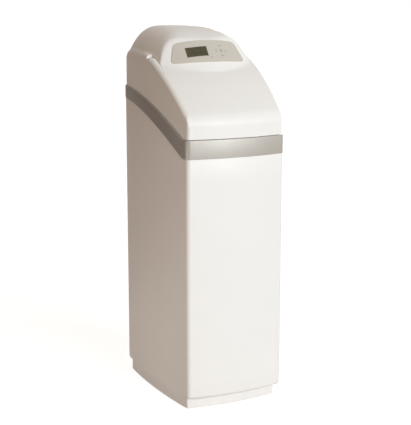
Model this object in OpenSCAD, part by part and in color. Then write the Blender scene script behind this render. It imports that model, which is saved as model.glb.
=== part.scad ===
// Cabinet water softener: a salt cabinet with a swept rim, a hinged salt lid, a control hood,
// and the pressure tank, valve, brine and bypass parts that it holds.
// Front is -Y, up is +Z, and the origin is the middle of the base on the floor.

/* [Cabinet] */
// Widest width, across the bowed sides
cabinet_w = 340; // [330:2:356]
// Depth, from the bowed front to the flat back
cabinet_d = 500; // [490:2:520]
// Height of the cabinet wall at the front, under the rim
front_h = 755; // [700:5:820]
// Wall thickness of the moulded cabinet
wall = 4; // [3:0.5:5]
// How far the front bows forward
front_bow = 23; // [15:1:28]
// How far each side bows out
side_bow = 15.5; // [10:0.5:20]
// Radius of the two front corners in plan
front_r = 14; // [12:1:20]
// Radius of the two back corners in plan
back_r = 60; // [52:1:66]
// Height of the plinth
plinth_h = 38; // [30:1:50]
// How far the plinth stands back at the sides and back
plinth_inset = 10; // [8:1:14]
// How far the plinth stands back at the front
toe_inset = 29; // [22:1:34]

/* [Rim] */
// Height of the rim band at the front
band_h = 55; // [48:1:62]
// How far the rim band stands proud of the cabinet
band_proud = 1.5; // [0.5:0.5:3]
// Thickness of the rim's deck
deck_t = 4; // [3:0.5:5]
// Width of the rim's deck, in from the cabinet wall
deck_w = 26; // [22:1:30]
// Depth of the level front part of the rim
level_d = 46; // [36:1:60]
// Rise of the rim's lower edge from front to back
low_rise = 142; // [132:1:150]
// Rise of the rim's upper edge from front to back
top_rise = 124; // [116:1:130]

/* [Lid and hood] */
// Thickness of the lid and hood walls
skin = 3; // [2.5:0.25:3.5]
// Rounding of the lid and hood shoulders
shoulder_r = 19; // [17:1:22]
// Width of the lid's ears beside the hood
ear_w = 22; // [20:1:24]
// Bow of the seam between the lid and the hood, in plan
seam_bow = 27; // [24:1:32]
// How far the hood's foot spreads at its front corners
foot_flare = 7; // [4:0.5:8]
// Height of the lid's shoulder line above the cabinet's front wall, 175 mm behind the front
slope_rise = 231; // [228:1:234]
// Height of the lower end of the hood's face above the cabinet's front wall
face_rise = 227; // [224:1:230]
// Height of the hood's top above the cabinet's front wall
hood_rise = 361; // [356:1:372]
// Height of the lid's hinge above the cabinet's front wall
hinge_rise = 265; // [263:0.5:267]
// Slope of the hood's face from level, in degrees
face_tilt = 52.5; // [50:0.5:56]
// Radius that the hood's face and panel bow to
panel_r = 318; // [300:2:360]

/* [Control panel] */
// Half width of the panel along its lower edge
panel_low = 113; // [110:1:116]
// Half width of the panel along its upper edge
panel_high = 99; // [97:1:102]
// Height of the panel along the slope
panel_tall = 65; // [63:1:67]
// How far the panel's lower edge dips in the middle
panel_dip = 10.5; // [8:0.5:12]
// Radius of the panel's corners
panel_corner = 10; // [6:1:12]
// Width of the display window
display_w = 68; // [60:1:72]
// Height of the display window
display_h = 34; // [28:1:36]
// Radius of a key
key_r = 6; // [4.5:0.25:6.25]
// Travel of a key
key_travel = 0.5; // [0.3:0.1:0.8]

/* [Water parts] */
// Radius of the resin tank
resin_r = 102; // [98:0.5:103]
// Radius of the inlet and outlet threads
thread_r = 16.6; // [13:0.1:16.6]
// Distance from the middle to each water port
port_x = 38; // [38:0.5:42]
// Stroke of the bypass plunger
bypass_stroke = 24; // [20:1:26]
// Radius of the brine well
well_r = 40; // [36:0.5:42]
// Lift of the brine float
float_lift = 12; // [8:1:14]

/* [Hidden] */
$fn = 48;
half_w = cabinet_w / 2;
half_d = cabinet_d / 2;
floor_t = wall + 1;

// Inset of the cabinet's neck, which the rim band slips over
neck_inset = 3;
// Inset of the lid and hood walls from the cabinet wall
cover_inset = 2.8;
// Gap under the lid's wall, and the two pads on the rim that fill it
lid_gap = 1;
rest_x = 60;
rest_r = 5;
// Depth at which the level front of the rim starts to sweep up
sweep_y = level_d - half_d;

// Height and shape of the lid's slope where it passes the sides
slope_y = -75;
slope_z = front_h + slope_rise;
slope_rate = 0.6;
slope_fall = 0.0013;
lid_bow = 30;

// Hood: half width at its foot, seams, and the point where its face starts
foot_x = half_w - ear_w;
foot_front = foot_x + foot_flare;
seam_y = 28;
seam_gap = 1.2;
face_y = -104.8;
face_z = front_h + face_rise;
face_rate = tan(face_tilt);
hood_top = front_h + hood_rise;
apex_y = 115;
hood_fall = 0.0017;
hood_back_r = 18;

// Lid hinge, inside the two ears of the lid
hinge_y = 20;
hinge_z = front_h + hinge_rise;
ear_r = seam_y - hinge_y;
flare_y = seam_y - 40;
pin_r = 2.4;
boss_r = pin_r + 1.4;

// Middle of the control panel on the hood's face
panel_t = 2;
panel_up = 88;
panel_y = face_y + panel_up * cos(face_tilt);
panel_z = face_z + panel_up * sin(face_tilt);
run_out = panel_back(panel_low, -panel_tall / 2) - 9;
display_x = -38.5;
display_u = -4.7;
pad_x = 42;
pad_u = -3.7;
pad_step = 16;
light_x = 4;
light_u = -27;
board_z = -30;
board_t = 1.6;
board_w = 192;
board_h = 44;
switch_h = 4.5;
screw_x = 86;
screw_u = 18;

// Tank, valve and brine places
boot_r = resin_r + 2;
resin_y = half_d - plinth_inset - wall - boot_r - 2;
boot_h = 50;
dome_h = 52;
neck_r = 31;
neck_bore = 27;
neck_flange_r = 36;
valve_z = band_top(resin_y) - 6;
chamber_r = 46;
port_z = 42;
port_r = 17;
port_bore = 12;
port_end = half_d + 2 - resin_y;
plate_z = 68;
plate_angles = [30, 150, 210, 330];
gear_z = 100;
gear_module = 1.5;
gear_teeth = 48;
pinion_teeth = 12;
gear_gap = gear_module * (gear_teeth + pinion_teeth) / 2;
riser_r = 13.4;
nozzle_x = chamber_r + 30;
nozzle_r = 18;
brine_z = 40;
tube_r = 5;
bend_r = 25;
well_y = -22;
well_top = front_h + 25;
float_z = front_h - 335;
bypass_y = port_end + 19;
barrel_half = port_x + 28;
barrel_r = 20;
plunger_r = 13.95;
adapter_y = bypass_y + 23;
drain_z = 84;
drain_x = -chamber_r - 34;
drain_r = 6.5;
overflow_x = -70;
overflow_z = front_h - 60;
overflow_r = 8;
cutout_x = 96;
cutout_top = valve_z + 97;
gland_z = cutout_top + 20;
gland_r = 8;

white = [0.93, 0.93, 0.91];
band_grey = [0.72, 0.70, 0.67];
panel_beige = [0.78, 0.76, 0.71];
steel = [0.75, 0.76, 0.78];
black = [0.13, 0.13, 0.14];

function mix(a, b, t) = a + (b - a) * t;
function clamp(t) = min(max(t, 0), 1);
function smooth_min(a, b, k) = let (h = max(k - abs(a - b), 0) / k) min(a, b) - h * h * k / 4;
function smooth_max(a, b, k) = -smooth_min(-a, -b, k);

// Drop of a rounded edge of radius r, at distance d in from the wall
function edge_drop(d, r) = d >= r ? 0 : r - sqrt(max(r * r - pow(r - max(d, 0), 2), 0));

// Plan outline: bowed sides and front, inset by e
function side_x(y, e) = half_w - e - side_bow * pow(y / half_d, 2);
function front_y(x, e) = e - half_d + front_bow * pow(x / half_w, 2);

// Right half of the outline from the front middle to the back, as [y, x]
function half_plan(e) =
  let (
    rf = max(front_r - e, 2),
    rb = max(back_r - e, 2),
    fy = front_y(side_x(front_bow - half_d, e + rf), e + rf),
    fx = side_x(fy, e + rf),
    by = half_d - e - rb,
    bx = side_x(by, e + rb),
    af = atan(2 * front_bow * fx / (half_w * half_w)),
    as = atan(-2 * side_bow * fy / (half_d * half_d)),
    ab = atan(2 * side_bow * by / (half_d * half_d))
  )
  concat(
    [for (i = [0:9]) let (x = (fx + rf * sin(af)) * i / 10) [front_y(x, e), x]],
    [for (i = [0:6]) let (a = mix(af - 90, -as, i / 6)) [fy + rf * sin(a), fx + rf * cos(a)]],
    [for (i = [1:15]) let (y = mix(fy - rf * sin(as), by + rb * sin(ab), i / 15)) [y, side_x(y, e)]],
    [for (i = [1:9]) let (a = mix(ab, 90, i / 9)) [by + rb * sin(a), bx + rb * cos(a)]]
  );

cover_plan = half_plan(cover_inset);
cover_plan_in = half_plan(cover_inset + skin);

// Rim curves seen from the side: level at the front, then sweeping up to the back
function sweep(y, rate, rise) =
  let (t = max(y - sweep_y, 0), span = half_d - sweep_y)
  rate * t - (rate * span - rise) * pow(t / span, 2);
function band_low(y) = front_h + sweep(y, 0.6, low_rise);
function band_top(y) = front_h + band_h + sweep(y, 0.56, top_rise);
curve_y = concat([-half_d - 20], [for (i = [0:20]) mix(sweep_y, half_d + 20, i / 20)]);

// Height of the lid's slope and of the shoulders beside the hood
function slope_line(y) = let (s = y - slope_y) slope_z + slope_rate * s - slope_fall * s * s;
function slope_bow(y) = mix(front_bow, lid_bow, clamp((y + half_d) / (face_y + half_d)));
function slope_height(x, y) = slope_line(y + slope_bow(y) * (1 - pow(x / half_w, 2)));
function side_drop(x, y) = edge_drop(lookup(y, cover_plan) - abs(x), shoulder_r);
function front_drop(x, y) = edge_drop(y - front_y(x, cover_inset), shoulder_r);

// How far the hood's face lies back from its middle line, in panel depth and in plan
function face_sag(x) = panel_r - sqrt(panel_r * panel_r - x * x);
function face_line(x) = face_y + face_sag(x) / sin(face_tilt);

// Seam between the lid and the hood: a flatter bow in front, and feet that spread in front of the ears
function seam_line(x) = face_y + seam_bow * pow(x / foot_front, 2);
function front_half(y) = foot_x + foot_flare * clamp((flare_y - y) / (flare_y - face_y - seam_bow));
function seam_share(y0) = clamp((seam_y - y0) / (seam_y - face_y));

// How far back of the face's foot a panel point lies in plan
function panel_back(x, u) =
  (panel_up + u) * cos(face_tilt) - face_sag(x) * pow(cos(face_tilt), 2) / sin(face_tilt);

// Below the panel the face runs out gently to the seam
function face_height(x, y) =
  let (
    back = y - face_line(x),
    lead = max(face_line(x) - seam_line(x), 0),
    t = clamp((run_out - back) / (run_out + lead))
  )
  face_z + face_rate * (back + lead * t * t);

// The ears are rounded about the hinge, so that they turn clear of the hood
function ear_height(y) = hinge_z + sqrt(max(pow(ear_r, 2) - pow(max(y - hinge_y, 0), 2), 0));
function lid_height(x, y) =
  min(slope_height(x, y) - max(side_drop(x, y), front_drop(x, y)), ear_height(y));

// Behind the lid's ears the foot of the hood's arch spreads out to the cabinet wall
function rear_share(y) = let (t = clamp((y - seam_y) / 70)) t * t * (3 - 2 * t);
function foot_half(y) = mix(front_half(y), lookup(y, cover_plan) - 8, rear_share(y));
function foot_level(y) = slope_height(foot_x, y) - 13 * rear_share(y);
function hood_line(y) = hood_top - hood_fall * pow(min(y - apex_y, 0), 2);
function arch_power(y) = mix(5.85, 3.25, clamp((y + 30) / 90));
function hood_height(x, y) =
  let (
    foot = foot_level(y),
    arch = foot + (hood_line(y) - foot) * (1 - pow(abs(x) / foot_half(y), arch_power(y))),
    shoulder = slope_height(x, y) - side_drop(x, y) - 12 * rear_share(y),
    body = smooth_max(shoulder, smooth_min(face_height(x, y), arch, 10), 8)
  )
  body - edge_drop(half_d - cover_inset - y, hood_back_r)
    - rear_share(y) * edge_drop(lookup(y, cover_plan) - abs(x), 10);

// Upright thickness of a wall of the lid and hood, from the slope of its surface
function upright(a, b) = skin * min(sqrt(1 + a * a + b * b), 2.5);
function lid_under(x, y) =
  lid_height(x, y) - upright(
    lid_height(x + 1, y) - lid_height(x, y),
    lid_height(x, y + 1) - lid_height(x, y)
  );
function hood_under(x, y) =
  hood_height(x, y) - upright(
    hood_height(x + 1, y) - hood_height(x, y),
    hood_height(x, y + 1) - hood_height(x, y)
  );

// Faces of a solid made of closed loops of m points, of which the second half is the inner skin
function loft_faces(n, m) = concat(
  [for (i = [0:n - 2], k = [0:m - 1]) let (a = i * m + k, b = i * m + (k + 1) % m) [a, b, b + m]],
  [for (i = [0:n - 2], k = [0:m - 1]) let (a = i * m + k, b = i * m + (k + 1) % m) [a, b + m, a + m]],
  [for (k = [0:m / 2 - 2]) [k + 1, k, m - 1 - k]],
  [for (k = [0:m / 2 - 2]) [k + 1, m - 1 - k, m - 2 - k]],
  [for (k = [0:m / 2 - 2]) let (s = (n - 1) * m) [s + k, s + k + 1, s + m - 1 - k]],
  [for (k = [0:m / 2 - 2]) let (s = (n - 1) * m) [s + k + 1, s + m - 2 - k, s + m - 1 - k]]
);
module loft(loops) {
  polyhedron([for (loop = loops) each loop], loft_faces(len(loops), len(loops[0])), convexity = 8);
}
function reverse(list) = [for (i = [len(list) - 1:-1:0]) list[i]];

// Solids in the plan outline, between two heights or two curves seen from the side
module plan(e) {
  half = half_plan(e);
  polygon(concat([for (p = half) [p[1], p[0]]], [for (i = [len(half) - 1:-1:1]) [-half[i][1], half[i][0]]]));
}
module plan_block(e, z0, z1) {
  translate([0, 0, z0])
    linear_extrude(z1 - z0)
      plan(e);
}
module plan_ring(outer, inner) {
  linear_extrude(hood_top)
    difference() {
      plan(outer);
      plan(inner);
    }
}
module between(low, high) {
  rotate([90, 0, 90])
    linear_extrude(cabinet_w + 40, center = true)
      polygon(concat([for (y = curve_y) [y, low(y)]], reverse([for (y = curve_y) [y, high(y)]])));
}
module along_x(length, r) {
  rotate([0, 90, 0])
    cylinder(r = r, h = length);
}
module along_y(length, r) {
  rotate([-90, 0, 0])
    cylinder(r = r, h = length);
}
module ring(outer, inner, height) {
  difference() {
    cylinder(r = outer, h = height);
    translate([0, 0, -1])
      cylinder(r = inner, h = height + 2);
  }
}
module both_sides() {
  children();
  mirror([1, 0, 0])
    children();
}

// Plinth outline, which stands further back at the front
module plinth(e, z0, z1) {
  translate([0, 0, z0])
    linear_extrude(z1 - z0)
      intersection() {
        plan(e);
        translate([0, toe_inset - plinth_inset])
          plan(e);
      }
}
module cabinet() {
  color(white)
    difference() {
      union() {
        plinth(plinth_inset, 0, plinth_h + 8);
        intersection() {
          plan_block(0, plinth_h + 6, hood_top);
          between(function(y) 0, function(y) band_low(y));
        }
        plan_block(6, plinth_h, plinth_h + 8);
        plan_block(2, plinth_h + 2, plinth_h + 8);
        intersection() {
          plan_block(neck_inset, front_h - 60, hood_top);
          between(function(y) 0, function(y) band_top(y) - deck_t);
        }
      }
      plinth(plinth_inset + wall, floor_t, plinth_h + 20);
      intersection() {
        plan_block(wall, plinth_h + 8 + wall, hood_top);
        between(function(y) 0, function(y) band_low(y) - 12);
      }
      plan_block(neck_inset + wall, plinth_h + 8 + wall, hood_top);
      translate([overflow_x, half_d - 20, overflow_z])
        along_y(40, overflow_r + 2.5);
    }
}

// Line in plan along the hood's face, moved forward by a distance
function face_points(forward) = [for (i = [-12:12]) let (x = foot_x * i / 12) [x, face_line(x) - forward]];
module behind_face(forward) {
  polygon(concat(face_points(forward), [[half_w, half_d], [-half_w, half_d]]));
}

module rim() {
  color(band_grey) {
    intersection() {
      plan_ring(-band_proud, neck_inset - 0.5);
      between(function(y) band_low(y), function(y) band_top(y));
    }
    intersection() {
      plan_ring(0, deck_w);
      between(function(y) band_top(y) - deck_t, function(y) band_top(y));
    }
    rim_bridge();
    rim_tongue();
    for (x = [-rest_x, rest_x])
      translate([x, front_y(x, cover_inset + skin / 2), front_h + band_h - 2])
        cylinder(r = rest_r, h = 2 + lid_gap);
  }
}
// Bridge across the deck under the hood's face, with the bulkhead that keeps salt out of the valve bay
module rim_bridge() {
  intersection() {
    linear_extrude(hood_top)
      intersection() {
        plan(10);
        difference() {
          behind_face(4);
          behind_face(-16);
        }
      }
    between(function(y) band_top(y) - deck_t, function(y) band_top(y));
  }
  intersection() {
    linear_extrude(face_z - 8)
      intersection() {
        difference() {
          behind_face(-6);
          behind_face(-6 - skin);
        }
        square([2 * foot_x, cabinet_d], center = true);
      }
    between(function(y) band_top(y) - 1, function(y) hood_top);
  }
}
// Tongue that the hood's wall drops over
module rim_tongue() {
  intersection() {
    plan_ring(cover_inset + skin + 0.4, cover_inset + skin + 3.4);
    between(function(y) band_top(y) - 1, function(y) band_top(y) + 12);
    translate([-half_w, seam_y + 12, 0])
      cube([cabinet_w, half_d - seam_y - 60, hood_top]);
  }
}

// Shares of the half width at which the hood's sections have points
half_spread = [1, 0.985, 0.965, 0.94, 0.91, 0.87, 0.82, 0.75, 0.65, 0.52, 0.36, 0.18];
spread = concat(half_spread, [0], [for (i = [len(half_spread) - 1:-1:0]) -half_spread[i]]);

// One section of the hood: outer skin from right to left, then inner skin from left to right.
// half and half_in are its half widths, and rear is true where it is the back wall with its cutout.
function hood_loop(y0, half, half_in, rear = false) =
  let (
    bow = seam_bow * seam_share(y0),
    at_y = function(x) y0 + bow * pow(x / half, 2),
    foot = function(x) [x, at_y(x), band_top(at_y(x)) + 0.3],
    outer = [for (u = spread) let (x = half * u) [x, at_y(x), hood_height(x, at_y(x))]],
    arch = [for (u = spread) let (x = half_in * u) [x, at_y(x), hood_under(x, at_y(x))]],
    gap = [for (u = spread) [cutout_x * u, y0, cutout_top]],
    inner = rear ? gap : arch,
    low = rear ? cutout_x : half_in
  )
  concat([foot(half)], outer, [foot(-half)], [foot(-low)], reverse(inner), [foot(low)]);

function wide(y) = lookup(y, cover_plan);
function wide_in(y) = lookup(y, cover_plan_in);
step_y = seam_y + seam_gap;
hood_end = half_d - cover_inset;
corner_y = half_d - back_r;
module hood_shell() {
  front = [for (t = [0, 0.02, 0.06, 0.14, 0.22, 0.28, 0.36, 0.48, 0.58, 0.66, 0.73, 0.8, 0.88, 1])
    mix(face_y, step_y, t)];
  middle = [for (i = [0:8]) mix(step_y + skin + 0.5, corner_y, i / 8)];
  corner = [for (a = [12, 24, 36, 48, 58, 66]) corner_y + (hood_end - corner_y) * sin(a)];
  back = hood_end - skin;
  loft(concat(
    [for (y = front) let (half = front_half(y + seam_bow * seam_share(y))) hood_loop(y, half, half - skin)],
    [for (y = [step_y + 0.5, step_y + skin]) hood_loop(y, wide(y), foot_x - skin)],
    [for (y = concat(middle, corner, [back])) hood_loop(y, wide(y), wide_in(y))],
    [for (y = [back + 0.1, (back + hood_end) / 2, hood_end]) hood_loop(y, wide(y), 0, true)]
  ));
}
module hood() {
  color(white)
    difference() {
      hood_shell();
      panel_frame()
        translate([0, 0, -60])
          linear_extrude(90)
            offset(delta = -5)
              panel_outline();
      panel_frame()
        translate([light_x, light_u, -20])
          cylinder(r = 3, h = 40);
      translate([-half_w, hinge_y, hinge_z])
        along_x(cabinet_w, pin_r + 0.02);
      translate([0, hood_end - 20, gland_z])
        along_y(40, gland_r + 0.1);
    }
}

// Outline of the lid from the left ear round the front to the right ear, inset by e
function lid_side(e) =
  let (half = half_plan(e))
  concat(
    [for (p = half) if (p[0] < ear_y - 4) [p[1], p[0]]],
    [[lookup(ear_y, half), ear_y]],
    [for (p = half) if (p[0] > ear_y + 4 && p[0] < hinge_y - 6) [p[1], p[0]]],
    [for (t = [0, 0.4, 0.65, 0.85, 1]) let (y = mix(hinge_y, seam_y, t)) [lookup(y, half), y]]
  );
function lid_outline(e) =
  let (right = lid_side(e))
  concat([for (i = [len(right) - 1:-1:1]) [-right[i][0], right[i][1]]], right);

// Point on the lid's inner edge, along the hood's foot and face, that belongs to an outline point
ear_front = foot_front + seam_gap;
ear_y = seam_line(ear_front) - seam_gap;
lid_reach = lookup(ear_y, cover_plan) + ear_y - front_bow + half_d;
function lid_inner(p) =
  let (
    share = clamp((abs(p[0]) + max(p[1] - front_bow + half_d, 0)) / lid_reach),
    x = ear_front * share * sign(p[0])
  )
  p[1] > ear_y ? [(front_half(p[1]) + seam_gap) * sign(p[0]), p[1]] : [x, seam_line(x) - seam_gap];
lid_shares = [for (k = [0:11]) pow(k / 11, 1.8)];
function lid_loop(p, q) =
  let (
    edge = lid_inner(p),
    outer = [for (t = lid_shares) mix(p, edge, t)],
    inner = [for (t = lid_shares) mix(q, edge, t)]
  )
  concat(
    [[p[0], p[1], band_top(p[1]) + lid_gap]],
    [for (a = outer) [a[0], a[1], lid_height(a[0], a[1])]],
    reverse([for (a = inner) [a[0], a[1], lid_under(a[0], a[1])]]),
    [[q[0], q[1], band_top(q[1]) + lid_gap]]
  );
module salt_lid() {
  outer = lid_outline(cover_inset);
  inner = lid_outline(cover_inset + skin);
  color(white)
    loft([for (i = [0:len(outer) - 1]) lid_loop(outer[i], inner[i])]);
}

// Hinge arms on the inside of the lid's cheeks, and the pins through the hood's sides
arm_x = side_x(seam_y, cover_inset + skin) - 0.4;
boss_x = foot_x + 2;
boss_end = arm_x - 6.6;
arm_y = hinge_y - 26;
arm_z = hinge_z - 30;
module hinge_arms() {
  color(band_grey)
    both_sides()
      difference() {
        union() {
          translate([boss_x, hinge_y, hinge_z])
            along_x(boss_end - boss_x, boss_r);
          translate([boss_end - 3, 0, 0])
            rotate([90, 0, 90])
              linear_extrude(3)
                hull() {
                  translate([hinge_y, hinge_z])
                    circle(r = boss_r + 0.4);
                  translate([arm_y, arm_z])
                    circle(r = 8);
                }
          translate([boss_end - 1, arm_y, arm_z])
            along_x(arm_x - boss_end + 1, 6.5);
        }
        translate([boss_x - 1, hinge_y, hinge_z])
          along_x(boss_end - boss_x, pin_r + 0.05);
      }
}
module hinge_pins() {
  color(steel)
    both_sides()
      translate([foot_x - skin, hinge_y, hinge_z]) {
        along_x(boss_end - foot_x + skin - 1.5, pin_r);
        translate([-2, 0, 0])
          along_x(2, pin_r + 2.6);
      }
}

// Frame of the control panel: X across, Y up the slope, Z out of the face
module panel_frame() {
  translate([0, panel_y, panel_z])
    rotate([face_tilt, 0, 0])
      children();
}
module panel_outline() {
  half = panel_tall / 2;
  dip = [for (i = [-8:8]) [panel_low * i / 8, panel_dip * (pow(i / 8, 2) - 1) - half]];
  offset(r = panel_corner, $fn = 48)
    offset(delta = -panel_corner)
      polygon(concat(dip, [[panel_high, half], [-panel_high, half]]));
}
module bowed_plate(back, front) {
  translate([0, panel_tall, -panel_r])
    rotate([90, 0, 0])
      ring(panel_r + front, panel_r + back, 2 * panel_tall, $fn = 360);
}
// Frame that stands square on the bowed panel at x across and u up
module on_panel(x, u) {
  panel_frame()
    translate([0, u, -panel_r])
      rotate([0, asin(x / panel_r), 0])
        translate([0, 0, panel_r])
          children();
}
screw_places = [for (side = [-1, 1]) each [[side * screw_x, -screw_u], [side * (screw_x - 4), screw_u]]];
key_places = [
  [pad_x, pad_u + pad_step], [pad_x, pad_u - pad_step], [pad_x - pad_step, pad_u], [pad_x + pad_step, pad_u],
  [pad_x, pad_u]
];
module faceplate() {
  color(panel_beige)
    difference() {
      union() {
        panel_frame()
          intersection() {
            bowed_plate(0.2, panel_t);
            translate([0, 0, -60])
              linear_extrude(80)
                panel_outline();
          }
        panel_frame()
          for (p = screw_places)
            translate([p[0], p[1], board_z + board_t])
              cylinder(r = 3.5, h = -board_z - board_t - face_sag(p[0]) + 0.8);
      }
      on_panel(display_x, display_u)
        cube([display_w, display_h, 20], center = true);
      panel_frame()
        for (p = key_places)
          translate([p[0], p[1], -30])
            cylinder(r = key_r + 0.1, h = 40);
      panel_frame()
        translate([light_x, light_u, -30])
          cylinder(r = 1.6, h = 40);
      panel_frame()
        for (p = screw_places)
          translate([p[0], p[1], board_z])
            cylinder(r = 1.25, h = 12);
    }
}
module display_window() {
  color([0.30, 0.29, 0.22])
    on_panel(display_x, display_u)
      translate([0, 0, -0.7])
        cube([display_w - 0.4, display_h - 0.4, 1.6], center = true);
}
module display_module() {
  color([0.22, 0.24, 0.20])
    on_panel(display_x, display_u) {
      translate([0, 0, -4.6])
        cube([display_w - 0.6, display_h - 0.6, 6], center = true);
      for (side = [-1, 1])
        translate([side * display_w * 0.3, 0, -14])
          cube([2, display_h * 0.6, 14], center = true);
    }
}
module status_light() {
  color([0.55, 0.75, 0.85])
    panel_frame()
      translate([light_x, light_u, -4]) {
        cylinder(r = 1.55, h = 4 + panel_t - 0.2);
        cylinder(r = 2.6, h = 3.8);
      }
}
module circuit_board() {
  color([0.10, 0.36, 0.22])
    panel_frame()
      difference() {
        translate([-board_w / 2, -board_h / 2, board_z])
          cube([board_w, board_h, board_t]);
        for (p = screw_places)
          translate([p[0], p[1], board_z - 1])
            cylinder(r = 1.6, h = board_t + 2);
      }
}
module board_screws() {
  color(steel)
    panel_frame()
      for (p = screw_places)
        translate([p[0], p[1], board_z]) {
          translate([0, 0, -2])
            cylinder(r = 2.8, h = 2);
          cylinder(r = 1.2, h = 10);
        }
}
module key_switches() {
  color(black)
    panel_frame()
      for (p = key_places)
        translate([p[0], p[1], board_z + board_t]) {
          translate([-3, -3, 0])
            cube([6, 6, switch_h - 1]);
          cylinder(r = 1.7, h = switch_h);
        }
}
// A key: a cap flush with the bowed panel, a collar behind it and a stem down to its switch
module key(x, u) {
  low = board_z + board_t + switch_h + key_travel;
  seat = -face_sag(abs(x) + key_r + 1.2) - 1.2;
  color(panel_beige)
    panel_frame() {
      intersection() {
        translate([x, u, seat])
          cylinder(r = key_r, h = 20);
        bowed_plate(-30, panel_t + 0.3);
      }
      translate([x, u, seat - 1.2])
        cylinder(r = key_r + 1.2, h = 1.2);
      translate([x, u, low])
        cylinder(r = 1.8, h = seat - low);
    }
}
module key_up() { key(key_places[0][0], key_places[0][1]); }
module key_down() { key(key_places[1][0], key_places[1][1]); }
module key_left() { key(key_places[2][0], key_places[2][1]); }
module key_right() { key(key_places[3][0], key_places[3][1]); }
module key_select() { key(key_places[4][0], key_places[4][1]); }

// Frame of the resin tank on the cabinet floor, and of the valve on its neck
module at_tank() {
  translate([0, resin_y, 0])
    children();
}
module at_valve() {
  translate([0, resin_y, valve_z])
    children();
}
tank_low = floor_t + 3;
// Profile of the resin tank inset by e, from the bottom of the axis to the neck
function tank_profile(e) =
  let (
    low = tank_low + dome_h,
    high = valve_z - 30 - dome_h,
    reach = acos((neck_r - e) / (resin_r - e))
  )
  concat(
    [for (i = [0:8]) let (a = -90 + 90 * i / 8) [(resin_r - e) * cos(a), low + (dome_h - e) * sin(a)]],
    [for (i = [0:8]) let (a = reach * i / 8) [(resin_r - e) * cos(a), high + (dome_h - e) * sin(a)]]
  );
module resin_tank() {
  color([0.20, 0.30, 0.45])
    at_tank()
      difference() {
        rotate_extrude($fn = 72)
          polygon(concat(tank_profile(0), [
            [neck_r, valve_z - 10], [neck_flange_r, valve_z - 10], [neck_flange_r, valve_z], [0, valve_z]
          ]));
        rotate_extrude($fn = 72)
          polygon(concat(tank_profile(4), [[neck_bore, valve_z + 1], [0, valve_z + 1]]));
      }
}
module tank_boot() {
  low = tank_low + dome_h;
  color(black)
    at_tank()
      rotate_extrude($fn = 72)
        polygon(concat(
          [[0, floor_t], [boot_r, floor_t], [boot_r, floor_t + boot_h], [resin_r + 0.3, floor_t + boot_h]],
          [for (i = [7:-1:0]) let (a = -90 + 90 * i / 8)
            [(resin_r + 0.3) * cos(a), low + (dome_h + 0.3) * sin(a)]]
        ));
}
resin_top = front_h * 0.72;
module resin_bed() {
  color([0.62, 0.44, 0.20])
    at_tank()
      difference() {
        rotate_extrude($fn = 72)
          polygon(concat(
            [for (p = tank_profile(4.4)) if (p[1] < resin_top - 100) p],
            [[resin_r - 4.4, resin_top], [0, resin_top]]
          ));
        cylinder(r = riser_r + 0.4, h = resin_top + 1);
        cylinder(r = strainer_r + 0.4, h = strainer_top + 0.4);
      }
}
strainer_r = 24;
strainer_low = tank_low + 7;
strainer_top = strainer_low + 70;
module riser_tube() {
  color([0.85, 0.85, 0.82])
    at_tank()
      translate([0, 0, strainer_low + 20])
        ring(riser_r, riser_r - 2.4, valve_z + 18 - strainer_low - 20);
}
// Basket of a strainer with upright slots
module strainer(r, bore, height) {
  difference() {
    ring(r, bore, height);
    for (a = [0:45:315])
      rotate(a)
        translate([bore + 2, -1.5, 12])
          cube([r, 3, height - 20]);
  }
}
module lower_strainer() {
  color([0.85, 0.85, 0.82])
    at_tank()
      translate([0, 0, strainer_low]) {
        strainer(strainer_r, riser_r + 0.05, strainer_top - strainer_low);
        cylinder(r = riser_r + 1, h = 19);
      }
}
module upper_strainer() {
  color([0.85, 0.85, 0.82])
    at_valve()
      translate([0, 0, -74])
        strainer(strainer_r, riser_r + 0.3, 60 - 0.2);
}

module valve_body() {
  color(black)
    at_valve()
      difference() {
        union() {
          translate([0, 0, -14])
            cylinder(r = neck_bore - 0.2, h = 15);
          cylinder(r = neck_flange_r, h = 10);
          cylinder(r = neck_r, h = 15);
          translate([0, 0, 14])
            cylinder(r = chamber_r, h = plate_z - 14);
          translate([0, 0, plate_z - 8])
            cylinder(r = chamber_r + 8, h = 8);
          for (x = [-port_x, port_x])
            translate([x, 0, port_z])
              along_y(port_end, port_r);
          translate([-chamber_r - 10, 0, brine_z])
            along_x(2 * chamber_r + 20, 9);
        }
        translate([0, 0, -15])
          cylinder(r = riser_r + 0.05, h = 33);
        cylinder(r = 9, h = 30);
        translate([0, 0, 24])
          cylinder(r = 30, h = 40);
        translate([0, 0, plate_z - 20])
          cylinder(r = 38, h = 30);
        for (x = [-port_x, port_x])
          translate([x, 10, port_z])
            along_y(port_end, port_bore);
        translate([-chamber_r - 20, 0, brine_z])
          along_x(2 * chamber_r + 40, 4);
        translate([0, 0, -9])
          ring(neck_bore + 1, neck_bore - 3.4, 3.4);
        for (a = plate_angles)
          rotate(a)
            translate([chamber_r + 1, 0, plate_z - 9])
              cylinder(r = 2, h = 20);
      }
}
module neck_seal() {
  color(black)
    at_valve()
      translate([0, 0, -7.3])
        rotate_extrude()
          translate([neck_bore - 1.75, 0])
            circle(r = 1.6);
}
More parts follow.
